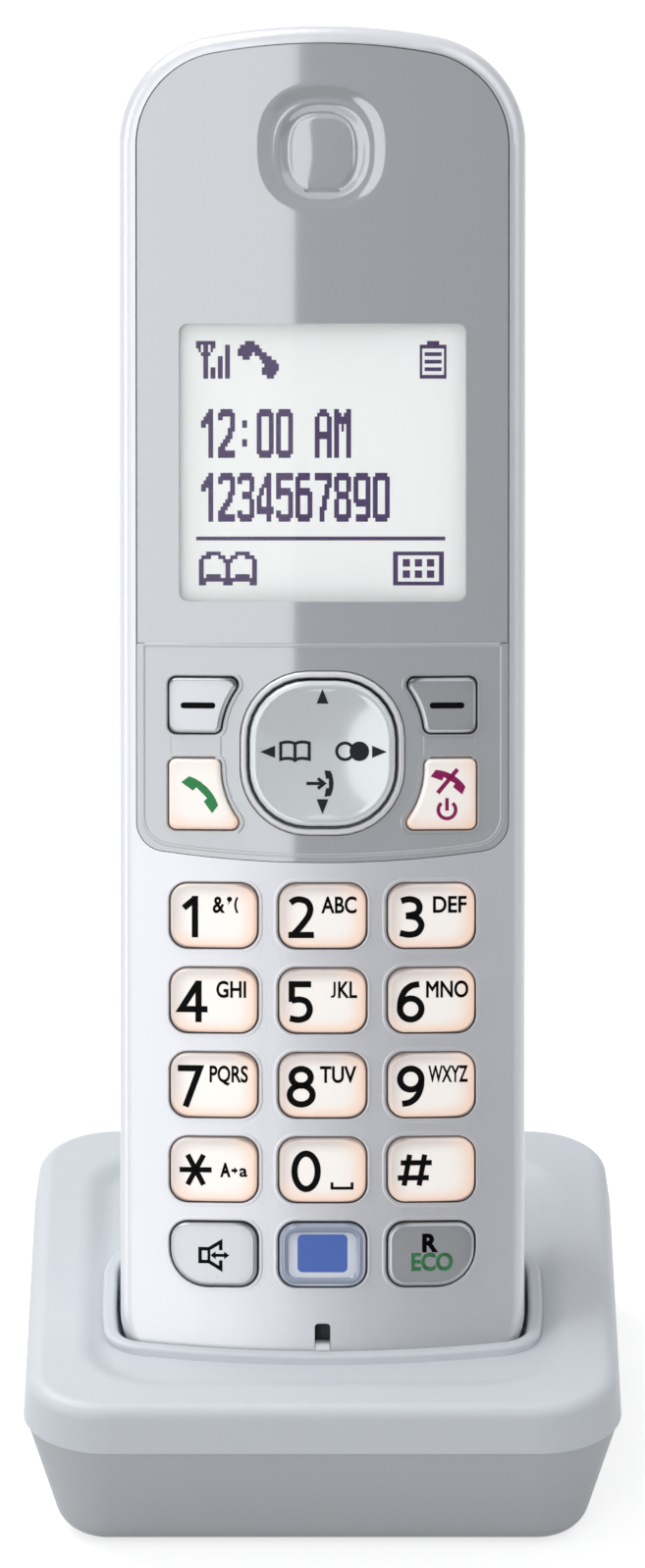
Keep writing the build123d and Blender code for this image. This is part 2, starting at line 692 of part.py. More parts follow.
def microphone_boot():
    """Rubber sleeve round the microphone, against the face."""
    inner = MIC_R + MIC_CLEAR
    ring = at(0, MIC_Z) * (Circle(inner + MIC_BOOT_WALL) - Circle(inner))
    return prism(ring, 0, FACE_WALL + MIC_CLEAR + MIC_H) & bowed(FACE_WALL)


def microphone():
    """Microphone capsule."""
    front = face_y(MIC_R, FACE_WALL) + MIC_CLEAR
    return prism(at(0, MIC_Z) * Circle(MIC_R), front, front + MIC_H)


# Batteries, contacts and screws


def battery(side):
    """Cell with its button end up."""
    can = Cylinder(CELL_R, CELL_LENGTH, align=(Align.CENTER, Align.CENTER, Align.MIN))
    button = Cylinder(CELL_BUTTON_R, CELL_BUTTON_H, align=(Align.CENTER, Align.CENTER, Align.MIN))
    cell = can + Pos(0, 0, CELL_LENGTH) * button
    return Pos(side * CELL_X, CELL_Y, CELL_FOOT_Z) * cell


def battery_contacts():
    """Sprung foot contacts and pressed head contacts of the two cells."""
    up = (Align.CENTER, Align.CENTER, Align.MIN)
    down = (Align.CENTER, Align.CENTER, Align.MAX)
    pieces = []
    for side in (-1, 1):
        foot = Box(CONTACT_PLATE_W, CONTACT_PLATE_W, CONTACT_PLATE, align=up)
        foot += Cylinder(CONTACT_SPRING_R, CONTACT_PLATE + CONTACT_SPRING_H, align=up)
        head = Box(CONTACT_PLATE_W, CONTACT_PLATE_W, CONTACT_PLATE, align=down)
        head += Cylinder(CONTACT_NUB_R, CONTACT_PLATE + CONTACT_NUB_H, align=down)
        pieces.append(Pos(side * CELL_X, CELL_Y, BAY_FOOT_Z) * foot)
        pieces.append(Pos(side * CELL_X, CELL_Y, BAY_FOOT_Z + BAY_LENGTH) * head)
    return group(pieces)


def cross_head(radius, height):
    """Screw head standing on z = 0 with a cross recess in its top."""
    up = (Align.CENTER, Align.CENTER, Align.MIN)
    head = Cylinder(radius, height, align=up)
    for turn in (0, 90):
        blade = Box(CROSS_L, CROSS_W, CROSS_DEPTH, align=(Align.CENTER, Align.CENTER, Align.MAX))
        head -= Pos(0, 0, height) * Rot(0, 0, turn) * blade
    return head


def screw(shank_r, shank_length, head_r, head_h):
    """Screw with its head seated on z = 0 and its shank below."""
    shank = Cylinder(shank_r, shank_length, align=(Align.CENTER, Align.CENTER, Align.MAX))
    return cross_head(head_r, head_h) + shank


def case_screws():
    """Four screws from the back into the front case."""
    pieces = []
    for x, z in SCREW_SPOTS:
        one = screw(SCREW_SHANK_R, SCREW_LENGTH + SCREW_SEAT, SCREW_HEAD_R, SCREW_HEAD_H)
        pieces.append(Pos(x, PARTING_DEPTH + SCREW_SEAT, z) * Rot(-90, 0, 0) * one)
    return group(pieces)



def pad_block(side, grow):
    """Upright block through the chin where a charge pad sits."""
    rect = at(side * PAD_X, 0) * Rectangle(PAD_W + 2 * grow, 2 * CHIN_CORNER_R)
    return prism(rect, PAD_Y - PAD_DEPTH / 2 - grow, PAD_Y + PAD_DEPTH / 2 + grow)


def handset_charge_contacts():
    """Two metal pads flush with the chin."""
    skin = prism(OUTLINE - outline(-PAD_THICK), 0, HANDSET_DEPTH)
    return group([pad_block(side, 0) & skin for side in (-1, 1)])


# Charging base


def base_plan(grow, z):
    """Plan of the base at its seam, moved in or out, at height z."""
    plan = RectangleRounded(BASE_WIDTH + 2 * grow, BASE_DEPTH + 2 * grow, BASE_CORNER_R + grow)
    return Pos(0, 0, z) * plan


def upright(radius, low, high):
    """Upright cylinder from low to high."""
    return Pos(0, 0, (low + high) / 2) * Cylinder(radius, high - low)


def slab(low, high):
    """Block wider than the base between two heights."""
    return Pos(0, 0, (low + high) / 2) * Box(2 * BASE_WIDTH, 2 * BASE_DEPTH, high - low)


def dish():
    """Shallow sloped hollow in the top of the base cover."""
    wide = BASE_WIDTH - 2 * CREST_INSET - 2 * DISH_RIM
    deep = BASE_DEPTH - 2 * CREST_INSET - 2 * DISH_RIM
    mouth = Pos(0, 0, BASE_TOP_Z) * RectangleRounded(wide, deep, DISH_CORNER_R)
    bed = RectangleRounded(wide - 2 * DISH_SLOPE, deep - 2 * DISH_SLOPE, DISH_CORNER_R - DISH_SLOPE)
    hollow = loft([mouth.faces()[0], (Pos(0, 0, BASE_TOP_Z - DISH_DEPTH) * bed).faces()[0]])
    return fillet(hollow.faces().sort_by(Axis.Z)[0].edges(), DISH_BED_R)


def base_cover():
    """Top shell: dished top, collar round the well, the well's tub, screw posts."""
    shell = extrude(base_plan(0, SEAM_Z), amount=BASE_TOP_Z - SEAM_Z, taper=COVER_FLARE_DEG)
    shell = fillet(shell.faces().sort_by(Axis.Z)[-1].edges(), BASE_TOP_EDGE_R)
    shell -= extrude(base_plan(-BASE_WALL, SEAM_Z), amount=CEILING_Z - SEAM_Z, taper=COVER_FLARE_DEG)
    shell -= dish()
    shell = fillet(shell.faces().sort_by(Axis.Z)[-1].inner_wires()[0].edges(), DISH_LIP_R)
    shell += (SEAT * handset_envelope(WELL_GAP + COLLAR_WALL)) & slab(CEILING_Z, BASE_TOP_Z - COLLAR_SINK)
    shell += (SEAT * handset_envelope(WELL_GAP + TUB_WALL)) & slab(0, CEILING_Z + BASE_WALL / 2)
    for x, y in BASE_SCREW_SPOTS:
        hole_top = BASE_SCREW_SEAT + BASE_SCREW_LENGTH + SCREW_CLEAR
        shell += Pos(x, y, 0) * upright(BASE_BOSS_R, BASE_BOSS_TOP, CEILING_Z + BASE_WALL / 2)
        shell -= Pos(x, y, 0) * upright(SCREW_SHANK_R + SCREW_CLEAR / 2, BASE_BOSS_TOP, hole_top)
    shell -= SEAT * handset_envelope(WELL_GAP)
    level = shell.faces().filter_by(Axis.Z).filter_by_position(Axis.Z, *COLLAR_BAND)
    shell = fillet(level.sort_by(SortBy.AREA)[-1].edges(), COLLAR_EDGE_R)
    for side in (-1, 1):
        shell -= Pos(side * PAD_X, PIN_Y, 0) * upright(PIN_R + PIN_CLEAR, 0, BASE_TOP_Z)
    return shell


def base_bottom():
    """Tapered lower shell with screw bosses, board standoffs and inlet hole."""
    shell = extrude(base_plan(-SEAM_STEP, SEAM_Z), amount=-SEAM_Z, taper=SHELL_TAPER_DEG)
    shell = fillet(shell.faces().sort_by(Axis.Z)[0].edges(), BASE_FOOT_EDGE_R)
    room = base_plan(-SEAM_STEP - BASE_WALL, SEAM_Z)
    shell -= extrude(room, amount=BASE_FLOOR - SEAM_Z, taper=SHELL_TAPER_DEG)
    for x, y in BASE_SCREW_SPOTS:
        shell += Pos(x, y, 0) * upright(BASE_BOSS_R, BASE_FLOOR / 2, BASE_BOSS_TOP)
        shell -= Pos(x, y, 0) * upright(SCREW_HEAD_R + SCREW_CLEAR, 0, BASE_SCREW_SEAT)
        shell -= Pos(x, y, 0) * upright(SCREW_SHANK_R + SCREW_CLEAR, 0, BASE_BOSS_TOP)
    for x in (STANDOFF_INSET - BASE_BOARD_W / 2, BASE_BOARD_W / 2 - STANDOFF_INSET):
        for y in (STANDOFF_INSET - BASE_BOARD_FRONT, BASE_BOARD_BACK - STANDOFF_INSET):
            shell += Pos(x, y, 0) * upright(STANDOFF_R, BASE_FLOOR / 2, BASE_BOARD_Z)
    for x, y in FOOT_SPOTS:
        shell -= Pos(x, y, 0) * upright(FOOT_R + PANEL_GAP, 0, FOOT_THICK)
    hole = Cylinder(JACK_R + JACK_CLEAR, BASE_DEPTH)
    return shell - Pos(0, BASE_BOARD_BACK + BASE_HALF_D, JACK_Z) * Rot(90, 0, 0) * hole


def base_board():
    """Charging board on the standoffs."""
    deep = BASE_BOARD_BACK + BASE_BOARD_FRONT
    middle = (BASE_BOARD_BACK - BASE_BOARD_FRONT) / 2
    return Pos(0, middle, BASE_BOARD_Z + BOARD_THICK / 2) * Box(BASE_BOARD_W, deep, BOARD_THICK)


def dc_jack():
    """Inlet block on the board, with a round nose in the rear wall and a centre pin."""
    back = BASE_BOARD_BACK
    high = 2 * (JACK_R + JACK_CLEAR)
    block = Pos(0, back - JACK_L / 2, BASE_BOARD_TOP + high / 2) * Box(JACK_W, JACK_L, high)
    axis = Pos(0, back, JACK_Z) * Rot(-90, 0, 0)
    start = (Align.CENTER, Align.CENTER, Align.MIN)
    block += axis * Cylinder(JACK_R, JACK_NOSE, align=start)
    bed = axis * Pos(0, 0, JACK_NOSE - JACK_SOCKET_DEPTH)
    block -= bed * Cylinder(JACK_SOCKET_R, JACK_SOCKET_DEPTH, align=start)
    return block + bed * Cylinder(JACK_PIN_R, JACK_SOCKET_DEPTH - JACK_WALL, align=start)


def pin_pad_z():
    """Height of the handset's pad above a pin."""
    chin_r = (HALF_W ** 2 + CHIN_RISE ** 2) / (2 * CHIN_RISE)
    lift = chin_r - sqrt(chin_r ** 2 - PAD_X ** 2)
    return PAD_BASE_Z + lift / cos(LEAN)


PIN_TOP = pin_pad_z() - PIN_GAP
TUB_UNDER = PAD_BASE_Z - (WELL_GAP + TUB_WALL) / cos(LEAN)
BARREL_R = PIN_R + PIN_CLEAR + BARREL_WALL
BARREL_TOP = TUB_UNDER - BARREL_R * tan(LEAN) - BARREL_CLEAR
PIN_FOOT = BASE_BOARD_TOP + BARREL_FLOOR + PIN_TRAVEL + SPRING_WIRE


def charge_pin(side):
    """Round-ended charge pin through the floor of the well."""
    pin = upright(PIN_R, PIN_FOOT, PIN_TOP)
    pin = fillet(pin.faces().sort_by(Axis.Z)[-1].edges(), PIN_TIP_R)
    return Pos(side * PAD_X, PIN_Y, 0) * pin


def pin_spring(side):
    """Spring sleeve under a charge pin."""
    low = BASE_BOARD_TOP + BARREL_FLOOR
    sleeve = upright(PIN_R, low, PIN_FOOT) - upright(PIN_R - SPRING_WIRE, low, PIN_FOOT)
    return Pos(side * PAD_X, PIN_Y, 0) * sleeve


def charge_pin_barrels():
    """Two barrels on the base board that guide the charge pins."""
    pieces = []
    for side in (-1, 1):
        barrel = upright(BARREL_R, BASE_BOARD_TOP, BARREL_TOP)
        barrel -= upright(PIN_R + PIN_CLEAR, BASE_BOARD_TOP + BARREL_FLOOR, BARREL_TOP)
        pieces.append(Pos(side * PAD_X, PIN_Y, 0) * barrel)
    return group(pieces)


def base_feet():
    """Four rubber pads let into the underside, flush with it."""
    return group([Pos(x, y, 0) * upright(FOOT_R, 0, FOOT_THICK) for x, y in FOOT_SPOTS])


def base_screws():
    """Four screws from below into the cover's posts."""
    pieces = []
    for x, y in BASE_SCREW_SPOTS:
        one = screw(SCREW_SHANK_R, BASE_SCREW_LENGTH, SCREW_HEAD_R, SCREW_HEAD_H)
        pieces.append(Pos(x, y, BASE_SCREW_SEAT) * Rot(180, 0, 0) * one)
    return group(pieces)


def handset_parts():
    """Every handset piece, upright."""
    parts = {name: press_key(sketch) for name, sketch in KEYS.items()}
    makers = (
        front_case, display_panel, key_panel, display_window, lcd_glass, lcd_holder, nav_ring, nav_rocker,
        nav_key, keypad_mat, main_board, board_shield, antenna, receiver_gasket, earpiece_receiver,
        loudspeaker, microphone, microphone_boot, rear_case, battery_cover, battery_contacts,
        handset_charge_contacts, case_screws,
    )
    for maker in makers:
        parts[maker.__name__] = maker()
    parts["battery_left"] = battery(-1)
    parts["battery_right"] = battery(1)
    return parts


def base_parts():
    """Every piece of the charging base."""
    makers = (base_cover, base_bottom, base_board, dc_jack, charge_pin_barrels, base_feet, base_screws)
    parts = {maker.__name__: maker() for maker in makers}
    for side, word in ((-1, "left"), (1, "right")):
        parts[f"charge_pin_{word}"] = charge_pin(side)
        parts[f"pin_spring_{word}"] = pin_spring(side)
    return parts


def main():
    """Build every piece and write one file for each."""
    os.makedirs("parts", exist_ok=True)
    pieces = {name: SEAT * part for name, part in handset_parts().items()}
    pieces.update(base_parts())
    for name, piece in pieces.items():
        export_step(piece, f"parts/{name}.step")


if __name__ == "__main__":
    main()
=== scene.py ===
import json
import logging
import math
from dataclasses import dataclass, field
from enum import Enum
from typing import Callable, Sequence

import bmesh
import bpy
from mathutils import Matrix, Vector
from mathutils.geometry import delaunay_2d_cdt

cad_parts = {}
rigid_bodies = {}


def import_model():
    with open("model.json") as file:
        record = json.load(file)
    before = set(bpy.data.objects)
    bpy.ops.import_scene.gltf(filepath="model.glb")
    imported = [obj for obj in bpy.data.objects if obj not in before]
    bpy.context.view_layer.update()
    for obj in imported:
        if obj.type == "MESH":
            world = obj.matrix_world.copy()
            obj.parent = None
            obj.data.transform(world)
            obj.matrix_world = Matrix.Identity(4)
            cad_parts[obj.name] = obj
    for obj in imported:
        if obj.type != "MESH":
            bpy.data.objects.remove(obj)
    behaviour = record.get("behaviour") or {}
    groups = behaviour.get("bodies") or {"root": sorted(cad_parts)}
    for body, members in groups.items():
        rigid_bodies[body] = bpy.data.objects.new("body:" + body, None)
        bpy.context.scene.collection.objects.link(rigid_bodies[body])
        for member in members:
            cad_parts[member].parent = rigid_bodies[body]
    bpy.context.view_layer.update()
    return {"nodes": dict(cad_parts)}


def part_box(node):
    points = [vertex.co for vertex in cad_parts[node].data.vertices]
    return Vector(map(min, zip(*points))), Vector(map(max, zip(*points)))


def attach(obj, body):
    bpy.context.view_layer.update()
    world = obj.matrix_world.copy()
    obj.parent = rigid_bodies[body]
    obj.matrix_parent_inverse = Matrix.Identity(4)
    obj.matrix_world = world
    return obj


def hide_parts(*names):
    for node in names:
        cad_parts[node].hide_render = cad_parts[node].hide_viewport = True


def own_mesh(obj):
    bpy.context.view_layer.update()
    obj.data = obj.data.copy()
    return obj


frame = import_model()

LOG = logging.getLogger("cordless_phone")
MM = 0.001
GRAIN_HEIGHT = 0.05 * MM
CORNER_SPANS, CURVE_SPANS = 8, 6

Point = tuple[float, float]
Loop = list[Point]
Spot = tuple[float, float, float]
Colour = tuple[float, float, float, float]
BMesh = bmesh.types.BMesh
Material = bpy.types.Material
Node = bpy.types.Node
NodeTree = bpy.types.NodeTree
Socket = bpy.types.NodeSocket


def srgb(red: int, green: int, blue: int) -> Colour:
    """Linear colour of an 8 bit display colour.

    Args:
        red, green, blue: display values from 0 to 255.

    Returns:
        The linear colour with full alpha.
    """
    def linear(value: int) -> float:
        """Linear share of one display value."""
        part = value / 255
        return part / 12.92 if part <= 0.04045 else ((part + 0.055) / 1.055) ** 2.4

    return (linear(red), linear(green), linear(blue), 1.0)


def smooth(low: float, high: float, value: float) -> float:
    """Smooth step of value from 0 at low to 1 at high."""
    part = min(1.0, max(0.0, (value - low) / (high - low)))
    return part * part * (3 - 2 * part)


# Flat outlines, in millimetres across and up the handset's face


def arc(cx: float, cy: float, radius: float, start: float, end: float, steps: int) -> Loop:
    """Points of an arc.

    Args:
        cx, cy: centre.
        radius: radius of the arc.
        start, end: angles in degrees.
        steps: number of spans.

    Returns:
        The points from start to end.
    """
    turns = [math.radians(start + (end - start) * i / steps) for i in range(steps + 1)]
    return [(cx + radius * math.cos(a), cy + radius * math.sin(a)) for a in turns]


def rounded(corners: Sequence[Spot], closed: bool = True) -> Loop:
    """Polygon or path with rounded corners.

    Args:
        corners: x, y and rounding radius of each corner.
        closed: whether the last corner joins the first.

    Returns:
        The points of the rounded shape.
    """
    points: Loop = []
    count = len(corners)
    for i, (x, y, radius) in enumerate(corners):
        ends = not closed and i in (0, count - 1)
        if radius <= 0 or ends:
            points.append((x, y))
            continue
        here = Vector((x, y))
        back = (Vector(corners[i - 1][:2]) - here).normalized()
        ahead = (Vector(corners[(i + 1) % count][:2]) - here).normalized()
        half = back.angle(ahead) / 2
        middle = here + (back + ahead).normalized() * (radius / math.sin(half))
        first = (here + back * (radius / math.tan(half)) - middle).normalized()
        last = (here + ahead * (radius / math.tan(half)) - middle).normalized()
        for step in range(CORNER_SPANS + 1):
            spoke = first.slerp(last, step / CORNER_SPANS) * radius
            points.append((middle.x + spoke.x, middle.y + spoke.y))
    return points


def dense(loop: Loop, step: float) -> Loop:
    """Closed loop with extra points on its long sides.

    Args:
        loop: the loop.
        step: longest side that stays whole.

    Returns:
        The loop with its extra points.
    """
    points: Loop = []
    for (x0, y0), (x1, y1) in zip(loop, loop[1:] + loop[:1]):
        spans = max(1, math.ceil(math.hypot(x1 - x0, y1 - y0) / step))
        points += [(x0 + (x1 - x0) * i / spans, y0 + (y1 - y0) * i / spans) for i in range(spans)]
    return points


def grown(loop: Loop, amount: float) -> Loop:
    """Closed loop moved outwards along its own normals.

    Args:
        loop: the loop.
        amount: how far it moves, inwards where negative.

    Returns:
        The moved loop.
    """
    turning = sum(a[0] * b[1] - b[0] * a[1] for a, b in zip(loop, loop[1:] + loop[:1]))
    side = 1 if turning > 0 else -1
    moved: Loop = []
    for i, (x, y) in enumerate(loop):
        before = Vector(loop[i - 1])
        after = Vector(loop[(i + 1) % len(loop)])
        along = (Vector((x, y)) - before).normalized() + (after - Vector((x, y))).normalized()
        along.normalize()
        moved.append((x + side * along.y * amount, y - side * along.x * amount))
    return moved


def inside(loop: Loop, x: float, y: float) -> bool:
    """Whether a point lies inside a closed loop.

    Args:
        loop: the loop.
        x, y: the point.

    Returns:
        True for a point inside.
    """
    within = False
    for (x0, y0), (x1, y1) in zip(loop, loop[1:] + loop[:1]):
        if (y0 > y) != (y1 > y) and x < x0 + (y - y0) * (x1 - x0) / (y1 - y0):
            within = not within
    return within


def rectangle(cx: float, cy: float, wide: float, high: float, radius: float) -> Loop:
    """Rounded rectangle about a centre.

    Args:
        cx, cy: centre.
        wide, high: its size.
        radius: radius of its corners.

    Returns:
        The outline.
    """
    x, y = wide / 2, high / 2
    spots = ((-x, -y), (x, -y), (x, y), (-x, y))
    return rounded([(cx + px, cy + py, radius) for px, py in spots])


def oval(cx: float, cy: float, wide: float, high: float, steps: int = 28) -> Loop:
    """Ellipse about a centre, by its half width and half height."""
    turns = [2 * math.pi * i / steps for i in range(steps)]
    return [(cx + wide * math.cos(a), cy + high * math.sin(a)) for a in turns]


def curved(points: Loop) -> Loop:
    """Smooth open path through points.

    Args:
        points: the points to pass.

    Returns:
        The points of the smooth path.
    """
    ends = [points[0], *points, points[-1]]
    path: Loop = []
    for a, b, c, d in zip(ends, ends[1:], ends[2:], ends[3:]):
        for t in (step / CURVE_SPANS for step in range(CURVE_SPANS)):
            path.append(tuple(
                0.5 * (2 * q + (r - p) * t + (2 * p - 5 * q + 4 * r - s) * t * t
                       + (3 * q - p - 3 * r + s) * t ** 3)
                for p, q, r, s in zip(a, b, c, d)))
    return path + [points[-1]]


def flipped(loop: Loop) -> Loop:
    """The same loop on the other side of the middle."""
    return [(-x, y) for x, y in reversed(loop)]


@dataclass(frozen=True)
class Face:
    """The handset's bowed front face, leaned back in the base."""

    lean: float = math.radians(22.0)
    seat_y: float = -22.5782
    seat_z: float = 14.1508
    radius: float = 110.0

    def flat(self, x: float, height: float, depth: float) -> Vector:
        """World point at a plain depth behind the middle of the face.

        Args:
            x, height: place across and up the face, in mm.
            depth: depth behind its middle, in mm.

        Returns:
            The point in metres.
        """
        y = self.seat_y + depth * math.cos(self.lean) + height * math.sin(self.lean)
        z = self.seat_z - depth * math.sin(self.lean) + height * math.cos(self.lean)
        return Vector((x, y, z)) * MM

    def point(self, x: float, height: float, sink: float) -> Vector:
        """World point sunk below the bowed face."""
        depth = self.radius - math.sqrt((self.radius - sink) ** 2 - x * x)
        return self.flat(x, height, depth)


FACE = Face()
Placer = Callable[[float, float], Vector]


def on_face(sink: float) -> Placer:
    """Placer of flat points on the bowed face at a given depth below it."""
    return lambda x, y: FACE.point(x, y, sink)


def swept(loop: Loop, profile: Sequence[Point]) -> list[list[Vector]]:
    """Loops round an outline on the face, by growth from it and sink below the face."""
    return [[FACE.point(x, z, sink) for x, z in grown(loop, grow)] for grow, sink in profile]


# Shader helpers and the shared node groups


class Graph:
    """Short way to place and join shader nodes."""

    def __init__(self, tree: NodeTree) -> None:
        """Keep the tree that the nodes go into."""
        self.tree = tree

    def add(self, kind: str, **values: object) -> Node:
        """Place a node.

        Args:
            kind: node type without the ShaderNode prefix.
            values: attributes of the node, or inputs by name with _ for a space.

        Returns:
            The new node.
        """
        node = self.tree.nodes.new("ShaderNode" + kind)
        for name, value in values.items():
            socket = node.inputs.get(name.replace("_", " "))
            if socket is not None:
                socket.default_value = value
            else:
                setattr(node, name, value)
        return node

    def link(self, source: object, target: Socket) -> None:
        """Join a socket to another one, or set it to a plain value.

        Args:
            source: an output socket or a plain value.
            target: the input socket.
        """
        if isinstance(source, Socket):
            self.tree.links.new(source, target)
        else:
            target.default_value = source

    def math(self, operation: str, first: object, second: object = 0.5) -> Socket:
        """Math node on sockets or numbers.

        Args:
            operation: the node's operation.
            first, second: sockets or plain numbers.

        Returns:
            The result socket.
        """
        node = self.add("Math", operation=operation)
        self.link(first, node.inputs[0])
        self.link(second, node.inputs[1])
        return node.outputs[0]

    def blend(self, mask: Socket, first: object, second: object) -> Socket:
        """Mix two colours by a mask.

        Args:
            mask: 0 for the first colour, 1 for the second.
            first, second: sockets or plain colours.

        Returns:
            The mixed colour.
        """
        node = self.add("Mix", data_type="RGBA")
        for slot, value in ((0, mask), (6, first), (7, second)):
            self.link(value, node.inputs[slot])
        return node.outputs[2]

    def ramp(self, value: Socket, low: object, high: object) -> Socket:
        """Smooth step of a value between two limits.

        Args:
            value: the value.
            low, high: sockets or plain numbers where the step starts and ends.

        Returns:
            The mask from 0 to 1.
        """
        node = self.add("MapRange", interpolation_type="SMOOTHSTEP")
        for label, source in (("Value", value), ("From Min", low), ("From Max", high)):
            self.link(source, node.inputs[label])
        return node.outputs["Result"]


def new_group(name: str, inputs: Sequence[tuple[str, str]], outputs: Sequence[tuple[str, str]]) -> tuple:
    """Start a shader node group.

    Args:
        name: name of the group.
        inputs, outputs: socket names and types.

    Returns:
        The tree, its graph, the input node and the output node.
    """
    tree = bpy.data.node_groups.new(name, "ShaderNodeTree")
    for way, sockets in (("INPUT", inputs), ("OUTPUT", outputs)):
        for label, kind in sockets:
            tree.interface.new_socket(label, in_out=way, socket_type="NodeSocket" + kind)
    graph = Graph(tree)
    return tree, graph, tree.nodes.new("NodeGroupInput"), tree.nodes.new("NodeGroupOutput")


def moulded_grain() -> NodeTree:
    """Fine moulded texture with a slow drift of tone.

    Returns:
        Group with Height, Roughness and Color outputs.
    """
    tree, graph, given, out = new_group(
        "moulded_grain",
        (("Color", "Color"), ("Roughness", "Float"), ("Scale", "Float"), ("Tone", "Float"),
         ("Spread", "Float")),
        (("Color", "Color"), ("Roughness", "Float"), ("Height", "Float")),
    )
    fine_share, broad_scale = 0.6, 38.0
    place = graph.add("TexCoord")
    fine = graph.add("TexNoise", Detail=2.0)
    graph.link(place.outputs["Object"], fine.inputs["Vector"])
    graph.link(given.outputs["Scale"], fine.inputs["Scale"])
    broad = graph.add("TexNoise", Scale=broad_scale, Detail=3.0)
    graph.link(place.outputs["Object"], broad.inputs["Vector"])
    mixed = graph.math("ADD", graph.math("MULTIPLY", fine.outputs["Fac"], fine_share),
                       graph.math("MULTIPLY", broad.outputs["Fac"], 1 - fine_share))
    swing = graph.math("SUBTRACT", mixed, 0.5)
    tone = graph.math("ADD", graph.math("MULTIPLY", swing, given.outputs["Tone"]), 1.0)
    shade = graph.add("HueSaturation")
    graph.link(given.outputs["Color"], shade.inputs["Color"])
    graph.link(tone, shade.inputs["Value"])
    spread = graph.math("MULTIPLY", swing, given.outputs["Spread"])
    graph.link(shade.outputs["Color"], out.inputs["Color"])
    graph.link(graph.math("ADD", given.outputs["Roughness"], spread), out.inputs["Roughness"])
    graph.link(fine.outputs["Fac"], out.inputs["Height"])
    return tree


def lit_border() -> NodeTree:
    """Masks of the light and shade painted on a key cap, by its place inside the cap's own box.

    Returns:
        Group with a Border mask for the painted edge glow or edge shade, 0 in the middle and 1 at the edges,
        a Shade mask for the painted shade, 1 towards the upper left, and an Edge mask for the painted dark
        shade on the rounded rim.
    """
    tree, graph, given, out = new_group(
        "lit_border", (("Start", "Float"), ("End", "Float"), ("Rim", "Float")),
        (("Border", "Float"), ("Shade", "Float"), ("Edge", "Float")),
    )
    half_x, middle_z, half_z, squareness, rim_fade = 0.447, 0.611, 0.389, 4.0, 0.08
    painted_shade_from, painted_shade_to = -0.25, 0.45
    place = graph.add("TexCoord")
    split = graph.add("SeparateXYZ")
    graph.link(place.outputs["Generated"], split.inputs[0])
    across = graph.math("DIVIDE", graph.math("SUBTRACT", split.outputs["X"], 0.5), half_x)
    upward = graph.math("DIVIDE", graph.math("SUBTRACT", split.outputs["Z"], middle_z), half_z)
    total = graph.math("ADD", graph.math("POWER", graph.math("ABSOLUTE", across), squareness),
                       graph.math("POWER", graph.math("ABSOLUTE", upward), squareness))
    reach = graph.math("POWER", total, 1 / squareness)
    graph.link(graph.ramp(reach, given.outputs["Start"], given.outputs["End"]), out.inputs["Border"])
    # Painted shade towards the upper left: lean is 1 at the upper left corner
    lean = graph.math("MULTIPLY", graph.math("SUBTRACT", upward, across), 0.5)
    graph.link(graph.ramp(lean, painted_shade_from, painted_shade_to), out.inputs["Shade"])
    # Painted dark shade on the rounded rim
    past = graph.math("ADD", given.outputs["Rim"], rim_fade)
    graph.link(graph.ramp(reach, given.outputs["Rim"], past), out.inputs["Edge"])
    return tree


class Groups:
    """The node groups, each built once."""

    def __init__(self) -> None:
        """Build every group."""
        self.grain = moulded_grain()
        # Masks of the light and shade painted on the key caps
        self.border = lit_border()


@dataclass(frozen=True)
class Finish:
    """Moulded, painted or metal surface with a fine grain."""

    name: str
    colour: Colour
    roughness: float = 0.45
    metallic: float = 0.0
    coat: float = 0.0
    coat_roughness: float = 0.05
    grain_scale: float = 2600.0
    grain_depth: float = 0.15
    tone: float = 0.05
    spread: float = 0.12
    emission: float = 0.0
    specular: float = 0.5

    def build(self, groups: Groups) -> Material:
        """Make the material.

        Args:
            groups: the shared node groups.

        Returns:
            The finished material.
        """
        material = bpy.data.materials.new(self.name)
        material.use_nodes = True
        graph = Graph(material.node_tree)
        shader = material.node_tree.nodes["Principled BSDF"]
        shader.inputs["Metallic"].default_value = self.metallic
        shader.inputs["Specular IOR Level"].default_value = self.specular
        shader.inputs["Coat Weight"].default_value = self.coat
        shader.inputs["Coat Roughness"].default_value = self.coat_roughness
        grain = graph.add("Group", node_tree=groups.grain)
        for label, value in (("Color", self.colour), ("Roughness", self.roughness), ("Tone", self.tone),
                             ("Scale", self.grain_scale), ("Spread", self.spread)):
            grain.inputs[label].default_value = value
        self.colour_in(graph, grain, groups)
        graph.link(grain.outputs["Color"], shader.inputs["Base Color"])
        graph.link(grain.outputs["Roughness"], shader.inputs["Roughness"])
        bump = graph.add("Bump", Strength=self.grain_depth, Distance=GRAIN_HEIGHT)
        graph.link(grain.outputs["Height"], bump.inputs["Height"])
        graph.link(bump.outputs["Normal"], shader.inputs["Normal"])
        if self.emission:
            graph.link(grain.outputs["Color"], shader.inputs["Emission Color"])
            shader.inputs["Emission Strength"].default_value = self.emission
        self.special(shader)
        return material

    def colour_in(self, graph: Graph, grain: Node, groups: Groups) -> None:
        """Plain finishes keep the grain's own colour."""

    def special(self, shader: Node) -> None:
        """Plain finishes set nothing more."""


